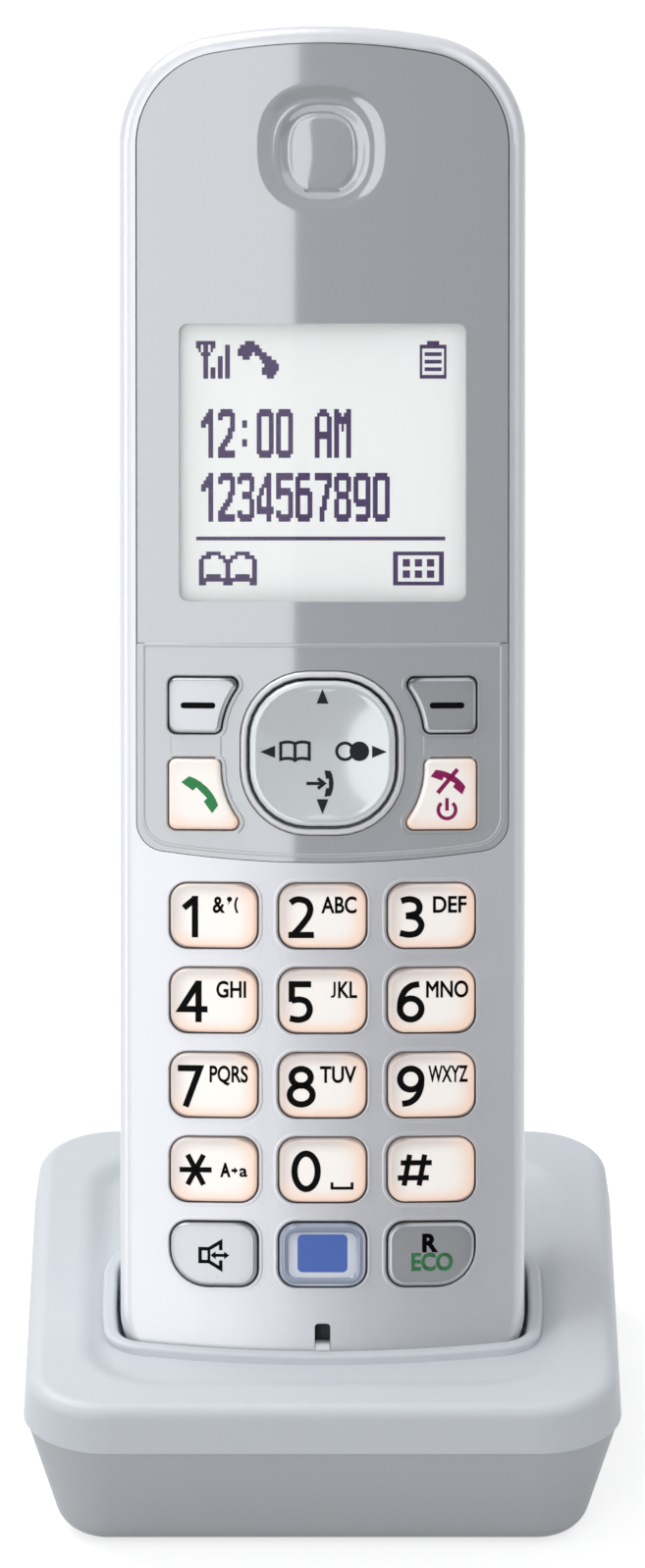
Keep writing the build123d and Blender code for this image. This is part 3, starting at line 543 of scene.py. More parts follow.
@dataclass(frozen=True)
class PaintedShadingKeyFinish(Finish):
    """Translucent key cap, lit from behind, with light and shade painted along its border: a painted warm
    glow or edge shade, painted shade towards the upper left and a painted dark rim.
    """

    # Painted light: border is a painted glow or edge shade, shade a painted shade at the upper left, rim a
    # painted dark shade at the edge
    border: Colour = (1.0, 1.0, 1.0, 1.0)
    shade: Colour = (1.0, 1.0, 1.0, 1.0)
    rim: Colour = (0.1, 0.1, 0.1, 1.0)
    start: float = 0.45
    end: float = 1.05
    rim_from: float = 0.97

    def colour_in(self, graph: Graph, grain: Node, groups: Groups) -> None:
        """Blend the middle into the painted glow or edge shade of the border, the painted shade of its upper
        left corner and the painted dark shade of the rim.

        Args:
            graph: the material's graph.
            grain: the grain node that takes the colour.
            groups: the shared node groups.
        """
        mask = graph.add("Group", node_tree=groups.border)
        mask.inputs["Start"].default_value = self.start
        mask.inputs["End"].default_value = self.end
        mask.inputs["Rim"].default_value = self.rim_from
        # Painted shade towards the upper left, painted glow or edge shade elsewhere on the border, painted
        # dark shade on the rim
        border = graph.blend(mask.outputs["Shade"], self.border, self.shade)
        face = graph.blend(mask.outputs["Border"], self.colour, border)
        graph.link(graph.blend(mask.outputs["Edge"], face, self.rim), grain.inputs["Color"])


@dataclass(frozen=True)
class ClearFinish(Finish):
    """Clear polished plastic."""

    def special(self, shader: Node) -> None:
        """Let light through."""
        shader.inputs["Transmission Weight"].default_value = 1.0
        shader.inputs["IOR"].default_value = 1.2


class Coat(Enum):
    """Every finish on the phone."""

    SILVER = Finish("silver_paint", srgb(210, 212, 217), 0.36, 0.5, 0.2, 0.2, 3200.0, 0.2, 0.06, 0.15)
    PANEL = Finish("panel_gloss", srgb(182, 185, 189), 0.07, 0.24, 0.35, 0.02, 3000.0, 0.01, 0.02, 0.02)
    RING = Finish("ring_metal", srgb(218, 218, 221), 0.3, 0.2, 0.25, 0.1, 3600.0, 0.05, 0.06, 0.1)
    # Painted shade: the sheet in the gaps round the keys takes this dark grey-brown in place of the case's
    # colour
    GAP = Finish("key_gap", srgb(122, 116, 116), 0.5, 0.1, 0.0, 0.1, 3600.0, 0.05, 0.06, 0.1)
    NAV = Finish("nav_gloss", srgb(216, 221, 223), 0.09, 0.15, 0.35, 0.02, 3000.0, 0.01, 0.02, 0.02)
    # Key caps: the border, shade and rim colours are painted light and shade, a warm glow or darker edge,
    # shade at the upper left and a dark rim
    KEY_LIT = PaintedShadingKeyFinish(
        "key_lit", srgb(247, 242, 237), 0.35, 0.0, 0.3, 0.15, 2400.0, 0.06, 0.02, 0.1, 0.18,
        border=srgb(250, 214, 190), shade=srgb(204, 192, 188), rim=srgb(140, 124, 118), start=0.5, end=1.1)
    SIDE_LIT = PaintedShadingKeyFinish(
        "side_key_lit", srgb(247, 242, 237), 0.35, 0.0, 0.3, 0.15, 2400.0, 0.06, 0.02, 0.1, 0.14,
        border=srgb(250, 212, 188), shade=srgb(238, 226, 220), start=0.55, end=1.25, rim_from=1.6)
    KEY_SILVER = PaintedShadingKeyFinish(
        "key_silver", srgb(184, 186, 190), 0.3, 0.6, 0.2, 0.1, 3000.0, 0.08, 0.05, 0.12,
        border=srgb(170, 173, 178), shade=srgb(174, 177, 182), rim=srgb(92, 92, 96), start=0.7, end=1.1)
    KEY_BLUE = PaintedShadingKeyFinish(
        "key_clear_blue", srgb(226, 231, 240), 0.18, 0.0, 0.6, 0.05, 2400.0, 0.03, 0.03, 0.06,
        border=srgb(206, 214, 228), shade=srgb(164, 172, 192), rim=srgb(96, 104, 124), start=0.5, end=0.95)
    KEY_RIM = Finish("key_clear_rim", srgb(142, 151, 171), 0.12, 0.1, 0.7, 0.03, 2400.0, 0.02, 0.03, 0.05)
    WINDOW = ClearFinish("window_clear", (1.0, 1.0, 1.0, 1.0), 0.02, grain_depth=0.0, spread=0.01, tone=0.0)
    LCD = Finish("lcd_white", srgb(236, 239, 238), 0.4, 0.0, 0.0, 0.05, 2100.0, 0.0, 0.02, 0.05, 0.14)
    LCD_INK = Finish("lcd_ink", srgb(66, 46, 92), 0.5, grain_depth=0.0, emission=0.1)
    HOLDER = Finish("holder_white", srgb(225, 226, 222), 0.5)
    INK_BLACK = Finish("ink_black", srgb(8, 8, 9), 0.6, grain_depth=0.02, specular=0.05)
    INK_GREY = Finish("ink_slate", srgb(40, 43, 48), 0.55, grain_depth=0.02, specular=0.05)
    INK_GREEN = Finish("ink_green", srgb(60, 140, 86), 0.5, grain_depth=0.02, specular=0.1)
    INK_PALE_GREEN = Finish("ink_pale_green", srgb(84, 164, 108), 0.5, grain_depth=0.02, specular=0.1)
    INK_MAGENTA = Finish("ink_magenta", srgb(146, 34, 92), 0.5, grain_depth=0.02, specular=0.1)
    INK_BLUE = Finish("label_blue", srgb(84, 112, 188), 0.35, 0.0, 0.15, grain_depth=0.03, specular=0.2)
    BASE_LIGHT = Finish("base_light", srgb(197, 202, 208), 0.5, 0.05, 0.0, 0.1, 2300.0, 0.35, 0.05, 0.12)
    BASE_DARK = Finish("base_dark", srgb(178, 182, 186), 0.55, 0.1, 0.0, 0.1, 2000.0, 0.45, 0.06, 0.12)
    SILICONE = Finish("silicone_grey", srgb(96, 92, 90), 0.7, grain_depth=0.1)
    GIMBAL = Finish("gimbal_plastic", srgb(70, 70, 72), 0.55)
    BOARD = Finish("board_green", srgb(28, 92, 52), 0.35, 0.0, 0.4, 0.1, 900.0, 0.2, 0.2, 0.1)
    TIN = Finish("tin_plate", srgb(190, 190, 186), 0.32, 0.95, 0.0, 0.1, 1500.0, 0.1, 0.08, 0.2)
    SOUND = Finish("sound_black", srgb(48, 48, 50), 0.5, 0.3, grain_depth=0.2)
    CELL = Finish("cell_sleeve", srgb(92, 132, 108), 0.3, 0.1, 0.4, 0.1, 900.0, 0.03, 0.05, 0.08)
    CONTACT = Finish("contact_plate", srgb(206, 190, 136), 0.25, 0.95, grain_depth=0.05)
    SCREW = Finish("screw_zinc", srgb(150, 151, 152), 0.35, 0.95, grain_depth=0.1)
    BLACK = Finish("black_plastic", srgb(26, 26, 27), 0.45, grain_depth=0.2)
    RUBBER = Finish("rubber_foot", srgb(46, 46, 47), 0.85, 0.0, 0.0, 0.1, 1500.0, 0.5, 0.15, 0.1)


class Paintbox:
    """Materials made from the finishes, each built once."""

    def __init__(self) -> None:
        """Build the node groups."""
        self.groups = Groups()
        self.made: dict[Coat, Material] = {}

    def get(self, coat: Coat) -> Material:
        """Material of a finish.

        Args:
            coat: the finish.

        Returns:
            Its material, built at the first call.
        """
        if coat not in self.made:
            self.made[coat] = coat.value.build(self.groups)
        return self.made[coat]


@dataclass
class Workshop:
    """Puts meshes into the scene, dressed and riding on their bodies."""

    paint: Paintbox

    def place(self, name: str, bm: BMesh, body: str, coat: Coat, slot: str,
              replaces: Sequence[str] = ()) -> bpy.types.Object:
        """Turn a bmesh into a piece.

        Args:
            name: piece name.
            bm: its geometry in metres, freed here.
            body: the body that it rides on.
            coat: its finish.
            slot: the record's material slot; not used.
            replaces: nodes that it stands for.

        Returns:
            The new object.
        """
        mesh = bpy.data.meshes.new(name)
        bm.to_mesh(mesh)
        bm.free()
        for polygon in mesh.polygons:
            polygon.use_smooth = True
        mesh.materials.append(self.paint.get(coat))
        piece = bpy.data.objects.new(name, mesh)
        bpy.context.scene.collection.objects.link(piece)
        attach(piece, body)
        if replaces:
            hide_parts(*replaces)
        LOG.info("piece %s on %s", name, body)
        return piece

    def dress(self, wear: dict[Coat, Sequence[str]]) -> None:
        """Give finishes to nodes of the frame.

        Args:
            wear: the nodes that wear each finish.
        """
        for coat, nodes in wear.items():
            for node in nodes:
                data = frame["nodes"][node].data
                data.materials.clear()
                data.materials.append(self.paint.get(coat))
                LOG.info("node %s in %s", node, coat.name)


class Pen(Enum):
    """How the path of a stroke is read."""

    LINE = "line"
    CURVE = "curve"
    LOOP = "loop"


# Strokes of the dial digits in a box of one by one
DIGITS: dict[str, list[tuple[Pen, Loop]]] = {
    "0": [(Pen.LOOP, oval(0.5, 0.5, 0.5, 0.5))],
    "1": [(Pen.LINE, [(0.82, -0.085), (0.82, 1.085)]), (Pen.LINE, [(-0.3, 0.74), (0.75, 0.99)])],
    "2": [(Pen.CURVE, [(0.0, 0.9), (0.2, 0.98), (0.45, 1.0), (0.78, 0.93), (0.93, 0.74), (0.84, 0.53),
                       (0.58, 0.31), (0.28, 0.1), (0.08, -0.02)]),
          (Pen.LINE, [(-0.1, 0.0), (1.1, 0.0)])],
    "3": [(Pen.CURVE, [(0.02, 0.95), (0.4, 1.0), (0.76, 0.94), (0.9, 0.77), (0.76, 0.6), (0.25, 0.53)]),
          (Pen.CURVE, [(0.25, 0.53), (0.78, 0.47), (0.99, 0.27), (0.8, 0.06), (0.4, 0.0), (-0.04, 0.05)])],
    "4": [(Pen.LINE, [(0.74, -0.085), (0.74, 1.085)]), (Pen.LINE, [(0.7, 1.0), (0.04, 0.28), (1.1, 0.28)])],
    "5": [(Pen.LINE, [(1.05, 1.0), (0.05, 1.0), (0.05, 0.5)]),
          (Pen.CURVE, [(0.05, 0.54), (0.45, 0.57), (0.82, 0.5), (0.98, 0.29), (0.82, 0.08), (0.42, 0.0),
                       (-0.05, 0.04)])],
    "6": [(Pen.LOOP, oval(0.51, 0.295, 0.49, 0.295)),
          (Pen.CURVE, [(0.9, 0.99), (0.55, 0.95), (0.24, 0.8), (0.06, 0.55), (0.02, 0.3)])],
    "7": [(Pen.LINE, [(-0.14, 1.0), (0.94, 1.0), (0.24, -0.085)])],
    "8": [(Pen.LOOP, oval(0.5, 0.765, 0.42, 0.235)), (Pen.LOOP, oval(0.5, 0.27, 0.5, 0.27))],
}
DIGITS["9"] = [(pen, [(1 - x, 1 - y) for x, y in path]) for pen, path in DIGITS["6"]]

# Dot letters of the display, seven dots wide and thirteen high, rows from the top
SIDES, BAR, ROOF, BLANK = "##...##", "#######", ".#####.", "......."
LEFT, RIGHT, POST, STEP = "##.....", ".....##", "....##.", "...###."
DOTS: dict[str, list[str]] = {
    "0": [ROOF, BAR, *[SIDES] * 9, BAR, ROOF],
    "1": [POST, STEP, "..####.", ROOF, ".##.##.", *[POST] * 8],
    "2": [ROOF, BAR, SIDES, RIGHT, RIGHT, "....###", POST, STEP, "..###..", ".###...", "###....", BAR, BAR],
    "3": [ROOF, BAR, SIDES, RIGHT, RIGHT, *["..####."] * 2, *[RIGHT] * 3, SIDES, BAR, ROOF],
    "4": [POST, STEP, STEP, "..####.", *[".##.##."] * 2, *["##..##."] * 3, BAR, BAR, POST, POST],
    "5": [BAR, BAR, LEFT, LEFT, "######.", BAR, SIDES, *[RIGHT] * 3, SIDES, BAR, ROOF],
    "6": [ROOF, "######.", LEFT, LEFT, "######.", BAR, *[SIDES] * 5, BAR, ROOF],
    "7": [BAR, BAR, RIGHT, "....###", POST, POST, STEP, *["...##.."] * 2, "..###..", *["..##..."] * 3],
    "8": [ROOF, BAR, *[SIDES] * 3, *[ROOF] * 2, *[SIDES] * 4, BAR, ROOF],
    ":": [*[BLANK] * 3, *["..##..."] * 2, *[BLANK] * 3, *["..##..."] * 2, *[BLANK] * 3],
    "A": ["..###..", ROOF, *[SIDES] * 4, BAR, BAR, *[SIDES] * 5],
    "M": [SIDES, "###.###", BAR, BAR, *["##.#.##"] * 2, *[SIDES] * 7],
    " ": [BLANK] * 13,
}
DOTS["9"] = [row[::-1] for row in reversed(DOTS["6"])]

# Dot pictures of the display
AERIAL = ("########......", "##.##.##....##", ".#.##.#.....##", "..####......##",
          *["...##....##.##"] * 3, *["...##.##.##.##"] * 3)
RECEIVER = ("...####..........", ".########........", "##########.......", "######.#####.....",
            "..###....#####...", "..........######.", "...........######", "..........#######",
            "..........######.", "............###..")
CHARGE = ("...#####...", "###########", *["#.........#", "#.#######.#"] * 3, "#.........#", "###########")
BOOK = ("...######......######...", ".####...###..###...####.", "##........####........##",
        *["##.........##.........##"] * 3, "##.######..##..######.##", "########################",
        "###.......####.......###")
LANE, KEYS = "##.................##", "##..###..###..###..##"
PAD = ("#" * 21, LANE, KEYS, KEYS, LANE, KEYS, KEYS, LANE, "#" * 21)


# Least cosine at a bend of a stroke, so that sharp bends don't shoot out
SHARPEST = 0.4


class Legend:
    """Flat print made of filled shapes, strokes and text, laid on a surface."""

    def __init__(self, x: float = 0.0, y: float = 0.0) -> None:
        """Start with a bare sheet about an origin."""
        self.bm = bmesh.new()
        self.x, self.y = x, y

    def vert(self, x: float, y: float) -> bmesh.types.BMVert:
        """Add a point, given from the origin."""
        return self.bm.verts.new((self.x + x, self.y + y, 0))

    def fill(self, loop: Loop) -> "Legend":
        """Add a filled shape."""
        self.bm.faces.new([self.vert(x, y) for x, y in loop])
        return self

    def stroke(self, path: Loop, width: float, closed: bool = False) -> "Legend":
        """Add a line of even width.

        Args:
            path: its points.
            width: line width.
            closed: whether it returns to its start.

        Returns:
            This legend.
        """
        rails: list[tuple] = []
        count = len(path)
        for i, spot in enumerate(path):
            here = Vector(spot)
            before = Vector(path[i - 1]) if closed or i else here
            after = Vector(path[(i + 1) % count]) if closed or i < count - 1 else here
            first = (here - before).normalized() if (here - before).length else (after - here).normalized()
            last = (after - here).normalized() if (after - here).length else first
            side = Vector((-(first + last).y, (first + last).x)).normalized()
            reach = width / 2 / max(SHARPEST, side.dot(Vector((-first.y, first.x))))
            rails.append((self.vert(*(here + side * reach)), self.vert(*(here - side * reach))))
        pairs = zip(rails, rails[1:] + rails[:1]) if closed else zip(rails, rails[1:])
        for (a, b), (c, d) in pairs:
            self.bm.faces.new((a, b, d, c))
        return self

    def disc(self, x: float, y: float, radius: float) -> "Legend":
        """Add a filled circle."""
        return self.fill(oval(x, y, radius, radius, 24))

    def ring(self, x: float, y: float, radius: float, width: float) -> "Legend":
        """Add a circle line."""
        return self.stroke(oval(x, y, radius, radius, 24), width, True)

    def digit(self, mark: str, x: float, y: float, wide: float, high: float, width: float) -> "Legend":
        """Add a large digit.

        Args:
            mark: the digit.
            x, y: its centre.
            wide, high: its overall size.
            width: line width.

        Returns:
            This legend.
        """
        across, tall = wide - width, high - width
        for pen, path in DIGITS[mark]:
            line = curved(path) if pen is Pen.CURVE else path
            spots = [(x + (px - 0.5) * across, y + (py - 0.5) * tall) for px, py in line]
            self.stroke(spots, width, pen is Pen.LOOP)
        return self

    @staticmethod
    def letters(words: str, weight: float) -> bpy.types.Mesh:
        """Mesh of a line of text at a size of one.

        Args:
            words: the text.
            weight: how much its strokes are thickened.

        Returns:
            The new mesh.
        """
        curve = bpy.data.curves.new("letters", "FONT")
        curve.body = words
        curve.bevel_depth = weight
        curve.bevel_resolution = 0
        curve.resolution_u = 6
        holder = bpy.data.objects.new("letters", curve)
        bpy.context.scene.collection.objects.link(holder)
        bpy.context.view_layer.update()
        mesh = bpy.data.meshes.new_from_object(holder.evaluated_get(bpy.context.evaluated_depsgraph_get()))
        bpy.data.objects.remove(holder)
        bpy.data.curves.remove(curve)
        return mesh

    def text(self, words: str, x: float, y: float, high: float, wide: float, weight: float) -> "Legend":
        """Add lettering centred on a point.

        Args:
            words: the letters.
            x, y: centre of its capitals.
            high: height of a capital.
            wide: width of the whole line.
            weight: how much the strokes are thickened.

        Returns:
            This legend.
        """
        plain = self.letters("H", 0.0)
        cap = max(v.co.y for v in plain.vertices)
        bpy.data.meshes.remove(plain)
        mesh = self.letters(words, weight * cap / high)
        xs = [v.co.x for v in mesh.vertices]
        middle, stretch = (min(xs) + max(xs)) / 2, wide / (max(xs) - min(xs))
        verts = [self.vert(x + (v.co.x - middle) * stretch, y + (v.co.y - cap / 2) * high / cap)
                 for v in mesh.vertices]
        for polygon in mesh.polygons:
            self.bm.faces.new([verts[i] for i in polygon.vertices])
        bpy.data.meshes.remove(mesh)
        return self

    def receiver(self, x: float, y: float, size: float, turn: float) -> "Legend":
        """Add a small handset sign: a curved grip with two square ends.

        Args:
            x, y: middle of the sign.
            size: overall length.
            turn: rotation in degrees.

        Returns:
            This legend.
        """
        along, up = size * math.cos(math.radians(turn)), size * math.sin(math.radians(turn))
        grip = [(-0.19, 0.065), (0.19, 0.065), (0.185, 0.226), (0.0, 0.243), (-0.185, 0.226)]
        ear = [(0.475, 0.13), (0.505, -0.1), (0.175, -0.045), (0.185, 0.226), (0.33, 0.19)]
        for part in (grip, ear, flipped(ear)):
            self.fill([(x + px * along - py * up, y + px * up + py * along) for px, py in part])
        return self

    def dots(self, rows: Sequence[str], x: float, y: float, cell: Point) -> "Legend":
        """Add a dot picture, each run of dots as one bar.

        Args:
            rows: rows of # for a dark dot, from the top.
            x, y: upper left corner.
            cell: width and height of a dot.

        Returns:
            This legend.
        """
        wide, high = cell
        for r, row in enumerate(rows):
            first = 0
            for bar in row.replace(".", " ").split(" "):
                if bar:
                    left, top = x + first * wide, y - r * high
                    right = left + len(bar) * wide
                    self.fill([(left, top - high), (right, top - high), (right, top), (left, top)])
                first += len(bar) + 1
        return self

    def lay(self, placer: Placer) -> BMesh:
        """Cut the print into narrow strips and lay it on its surface.

        Args:
            placer: gives the world point of a flat point.

        Returns:
            The finished geometry.
        """
        xs = [v.co.x for v in self.bm.verts]
        for cut in range(math.floor(min(xs)), math.ceil(max(xs)) + 1):
            parts = self.bm.verts[:] + self.bm.edges[:] + self.bm.faces[:]
            bmesh.ops.bisect_plane(self.bm, geom=parts, plane_co=(cut, 0, 0), plane_no=(1, 0, 0))
        for vert in self.bm.verts:
            vert.co = placer(vert.co.x, vert.co.y)
        self.bm.normal_update()
        return self.bm


def loft(loops: Sequence[Sequence[Vector]], closed: bool = True) -> BMesh:
    """Skin over loops with equal point counts.

    Args:
        loops: the loops in order.
        closed: whether each loop is closed.

    Returns:
        The skin.
    """
    bm = bmesh.new()
    rows = [[bm.verts.new(point) for point in loop] for loop in loops]
    for low, high in zip(rows, rows[1:]):
        count = len(low)
        for i in range(count if closed else count - 1):
            j = (i + 1) % count
            bm.faces.new((low[i], low[j], high[j], high[i]))
    return bm


@dataclass
class KeyField:
    """Places and outlines of the keys on the face."""

    key_w: float = 10.2
    key_h: float = 7.5
    key_r: float = 2.0
    pitch_x: float = 12.85
    pitch_z: float = 10.05
    dial_foot: float = 27.6
    function_z: float = 17.55
    big_r: float = 4.4
    outer_x: float = 18.1
    nav_w: float = 24.2
    nav_r: float = 10.4
    nav_z: float = 77.0
    ring_step: float = 0.4
    cap_w: float = 17.2
    cap_r: float = 6.9
    cap_step: float = 0.7
    side_r: float = 0.8
    soft_span: Point = (79.4, 85.9)
    talk_span: Point = (68.0, 76.3)
    proud: float = 0.8

    def nav_loop(self) -> Loop:
        """Outline of the four-way key's cap."""
        return dense(rectangle(0, self.nav_z, self.cap_w, self.cap_w, self.cap_r), self.cap_step)

    def dial_spots(self) -> dict[str, Point]:
        """Middle of each dial key by its mark.

        Returns:
            Places across and up the face, in build order.
        """
        rows = (("star", "0", "hash"), "789", "456", "123")
        return {name: ((col - 1) * self.pitch_x, self.dial_foot + row * self.pitch_z)
                for row, names in enumerate(rows) for col, name in enumerate(names)}

    def side(self, low: float, high: float) -> Loop:
        """Left-hand key that follows the four-way key's ring.

        Args:
            low, high: heights of its edges.

        Returns:
            The key's outline.
        """
        ring = dense(rectangle(0, self.nav_z, self.nav_w, self.nav_w, self.nav_r), self.ring_step)
        heights = sorted((z, x) for x, z in ring if x < 0)

        def edge(z: float) -> float:
            """Where the ring's clearance line lies at a height.

            Args:
                z: the height.

            Returns:
                The place across the face.
            """
            for (z0, x0), (z1, x1) in zip(heights, heights[1:]):
                if z0 <= z <= z1:
                    return x0 + (x1 - x0) * (z - z0) / (z1 - z0)
            return -self.nav_w / 2

        middle = [(edge(z), z, 0.0) for z in (low + (high - low) * share / 8 for share in range(2, 7))]
        corners = [(-self.outer_x, high, self.side_r), (-self.outer_x, low, self.side_r)]
        return rounded(corners + [(edge(low), low, self.side_r), *middle, (edge(high), high, self.side_r)])

    def outlines(self) -> dict[str, Loop]:
        """Outline of each press key by node name.

        Returns:
            The outlines in build order.
        """
        keys = {f"key_{name}": rectangle(x, z, self.key_w, self.key_h, self.key_r)
                for name, (x, z) in self.dial_spots().items()}
        keys["soft_key_left"] = self.side(*self.soft_span)
        keys["talk_key"] = self.side(*self.talk_span)
        left, right = -self.pitch_x - self.key_w / 2, -self.pitch_x + self.key_w / 2
        low, high = self.function_z - self.key_h / 2, self.function_z + self.key_h / 2
        keys["speaker_key"] = rounded([(left, low, self.big_r), (right, low, self.key_r),
                                       (right, high, self.key_r), (left, high, self.key_r)])
        keys["function_key"] = rectangle(0, self.function_z, self.key_w, self.key_h, self.key_r)
        twins = {"soft_key_right": "soft_key_left", "off_key": "talk_key", "recall_key": "speaker_key"}
        for name, twin in twins.items():
            keys[name] = flipped(keys[twin])
        return keys


@dataclass(frozen=True)
class Earpiece:
    """Soft hollow of the earpiece: a bowl, an inner lip and a raised pad, all rounded squares."""

    z: float = 148.4
    bowl_size: Point = (7.3, 7.1)
    bowl_power: float = 2.5
    bowl_wall: Point = (0.72, 1.08)
    bowl_depth: float = 0.3
    lip_size: Point = (5.4, 5.5)
    lip_power: float = 2.4
    lip_wall: Point = (0.76, 1.02)
    lip_drop: float = 0.35
    lip_depth: float = 0.34
    roll_high: float = 0.06
    roll_wide: float = 0.09
    pad_size: Point = (3.55, 4.2)
    pad_power: float = 2.8
    pad_wall: Point = (0.97, 1.12)
    pad_drop: float = 0.55
    pad_high: float = 0.2
    pad_crown: float = 0.1
    twist: float = 0.009
    twist_reach: float = 6.0
    slot_drop: float = 5.1
    slot_size: Point = (4.2, 0.34)
    slot_r: float = 0.16
    slot_step: float = 0.4
    slot_clear: float = 0.3
    mesh_step: float = 0.24
    mesh_reach: float = 8.8

    def slot(self) -> Loop:
        """Outline of the sound slot."""
        return dense(rectangle(0, self.z - self.slot_drop, *self.slot_size, self.slot_r), self.slot_step)

    def near(self, x: float, z: float) -> bool:
        """Whether a place needs the fine mesh."""
        return max(abs(x), abs(z - self.z)) < self.mesh_reach

    def sink(self, x: float, z: float) -> float:
        """Depth of the hollow below the panel.

        Args:
            x, z: place across and up the face.

        Returns:
            The depth in mm.
        """
        def reach(size: Point, power: float, drop: float) -> float:
            """How far out a place lies, 1 on the rounded square's outline."""
            total = abs(x / size[0]) ** power + abs((z - self.z + drop) / size[1]) ** power
            return total ** (1 / power)

        dish = self.bowl_depth * (1 - smooth(*self.bowl_wall, reach(self.bowl_size, self.bowl_power, 0.0)))
        lip = reach(self.lip_size, self.lip_power, self.lip_drop)
        roll = self.roll_high * math.exp(-((lip - self.lip_wall[1]) / self.roll_wide) ** 2)
        dish += self.lip_depth * (1 - smooth(*self.lip_wall, lip)) - roll
        inner = reach(self.pad_size, self.pad_power, self.pad_drop)
        crown = self.pad_high + self.pad_crown * max(0.0, 1 - inner * inner)
        pad = (1 - smooth(*self.pad_wall, inner)) * crown
        fade = math.exp(-(x / self.twist_reach) ** 2) * smooth(self.z, self.z + self.twist_reach, z)
        return max(0.0, dish - pad) - self.twist * x * fade


# Profiles round an outline: growth from it and sink below the face
GAP_PROFILE = ((0.04, 0.8), (0.06, 0.45), (0.15, 0.14), (0.24, 0.015))
BORDER_PROFILE = ((0.24, 0.02), (0.3, -0.012), (0.42, -0.028), (0.6, -0.016), (0.8, 0.02))
CAP_PROFILE = ((-0.3, 2.2), (-0.3, 0.9), (-0.12, 0.3), (0.0, -0.2), (-0.03, -0.4), (-0.13, -0.62),
               (-0.28, -0.78), (-0.5, -0.86), (-0.8, -0.84), (-1.1, -0.77))
TRIM_PROFILE = ((0.15, 1.45), (0.24, 1.1), (0.36, 0.68), (0.36, -0.05), (0.4, -0.17), (0.48, -0.26),
                (0.6, -0.3), (0.74, -0.3), (0.91, -0.21), (1.03, -0.06), (1.1, 0.12), (1.1, 1.0))

# Rings of the four-way key's hollow top, as shares of its brim
CAP_SHARES = (0.98, 0.94, 0.88, 0.8, 0.71, 0.61, 0.5, 0.39, 0.28, 0.17, 0.07)

# Inset and rise above the key's top of the function key's rim
RIM_PROFILE = ((0.3, 0.02), (0.36, 0.18), (0.52, 0.28), (0.72, 0.28), (0.92, 0.18), (1.1, 0.0))

# Depth of the microphone's sill at heights of the face
SILL_PROFILE = ((6.05, 0.1), (6.5, 0.16), (6.9, 0.4), (7.15, 0.9), (7.2, 1.4))

# Digits of the dial keys: shift from the key's middle and width
DIGIT_PLACES = {"0": (-1.94, 3.49), "1": (-2.6, 1.93), "2": (-2.52, 3.26), "3": (-2.37, 3.2),
                "4": (-2.52, 3.7), "5": (-2.6, 3.03), "6": (-2.45, 3.34), "7": (-2.73, 3.16),
                "8": (-2.52, 3.44), "9": (-2.39, 3.32)}

# Letters of the dial keys, with their shift from the key's middle and width
KEY_LETTERS = {"1": ("&", 0.6, 1.45), "2": ("ABC", 1.94, 4.18), "3": ("DEF", 2.19, 3.97),
               "4": ("GHI", 2.06, 3.52), "5": ("KL", 2.97, 2.25), "6": ("MNO", 1.9, 5.0),
               "7": ("PQRS", 1.76, 4.53), "8": ("TUV", 1.86, 4.33), "9": ("WXYZ", 2.01, 4.69)}

# Strokes of the dial keys' other signs, from the key's middle, with their widths
KEY_STROKES: dict[str, list[tuple[Loop, float]]] = {
    "0": [([(1.12, -1.4), (1.12, -2.1), (3.5, -2.1), (3.5, -1.4)], 0.34)],
    "1": [(arc(4.3, 1.3, 1.75, 148, 212, 10), 0.25)],
    "5": [(curved([(1.42, 2.3), (1.42, 0.9), (1.3, 0.58), (1.0, 0.52)]), 0.25)],
    "hash": [([(-3.2, -1.84), (-2.54, 1.84)], 0.62), ([(-1.42, -1.84), (-0.76, 1.84)], 0.62),
             ([(-3.95, -0.92), (-0.27, -0.92)], 0.62), ([(-3.6, 0.87), (0.08, 0.87)], 0.62)],
    "star": [([(-2.17 - x, -z), (-2.17 + x, z)], 0.62) for x, z in oval(0, 0, 1.9, 2.05, 6)[:3]]
            + [([(2.08, -0.05), (2.5, -0.05)], 0.32)],
}


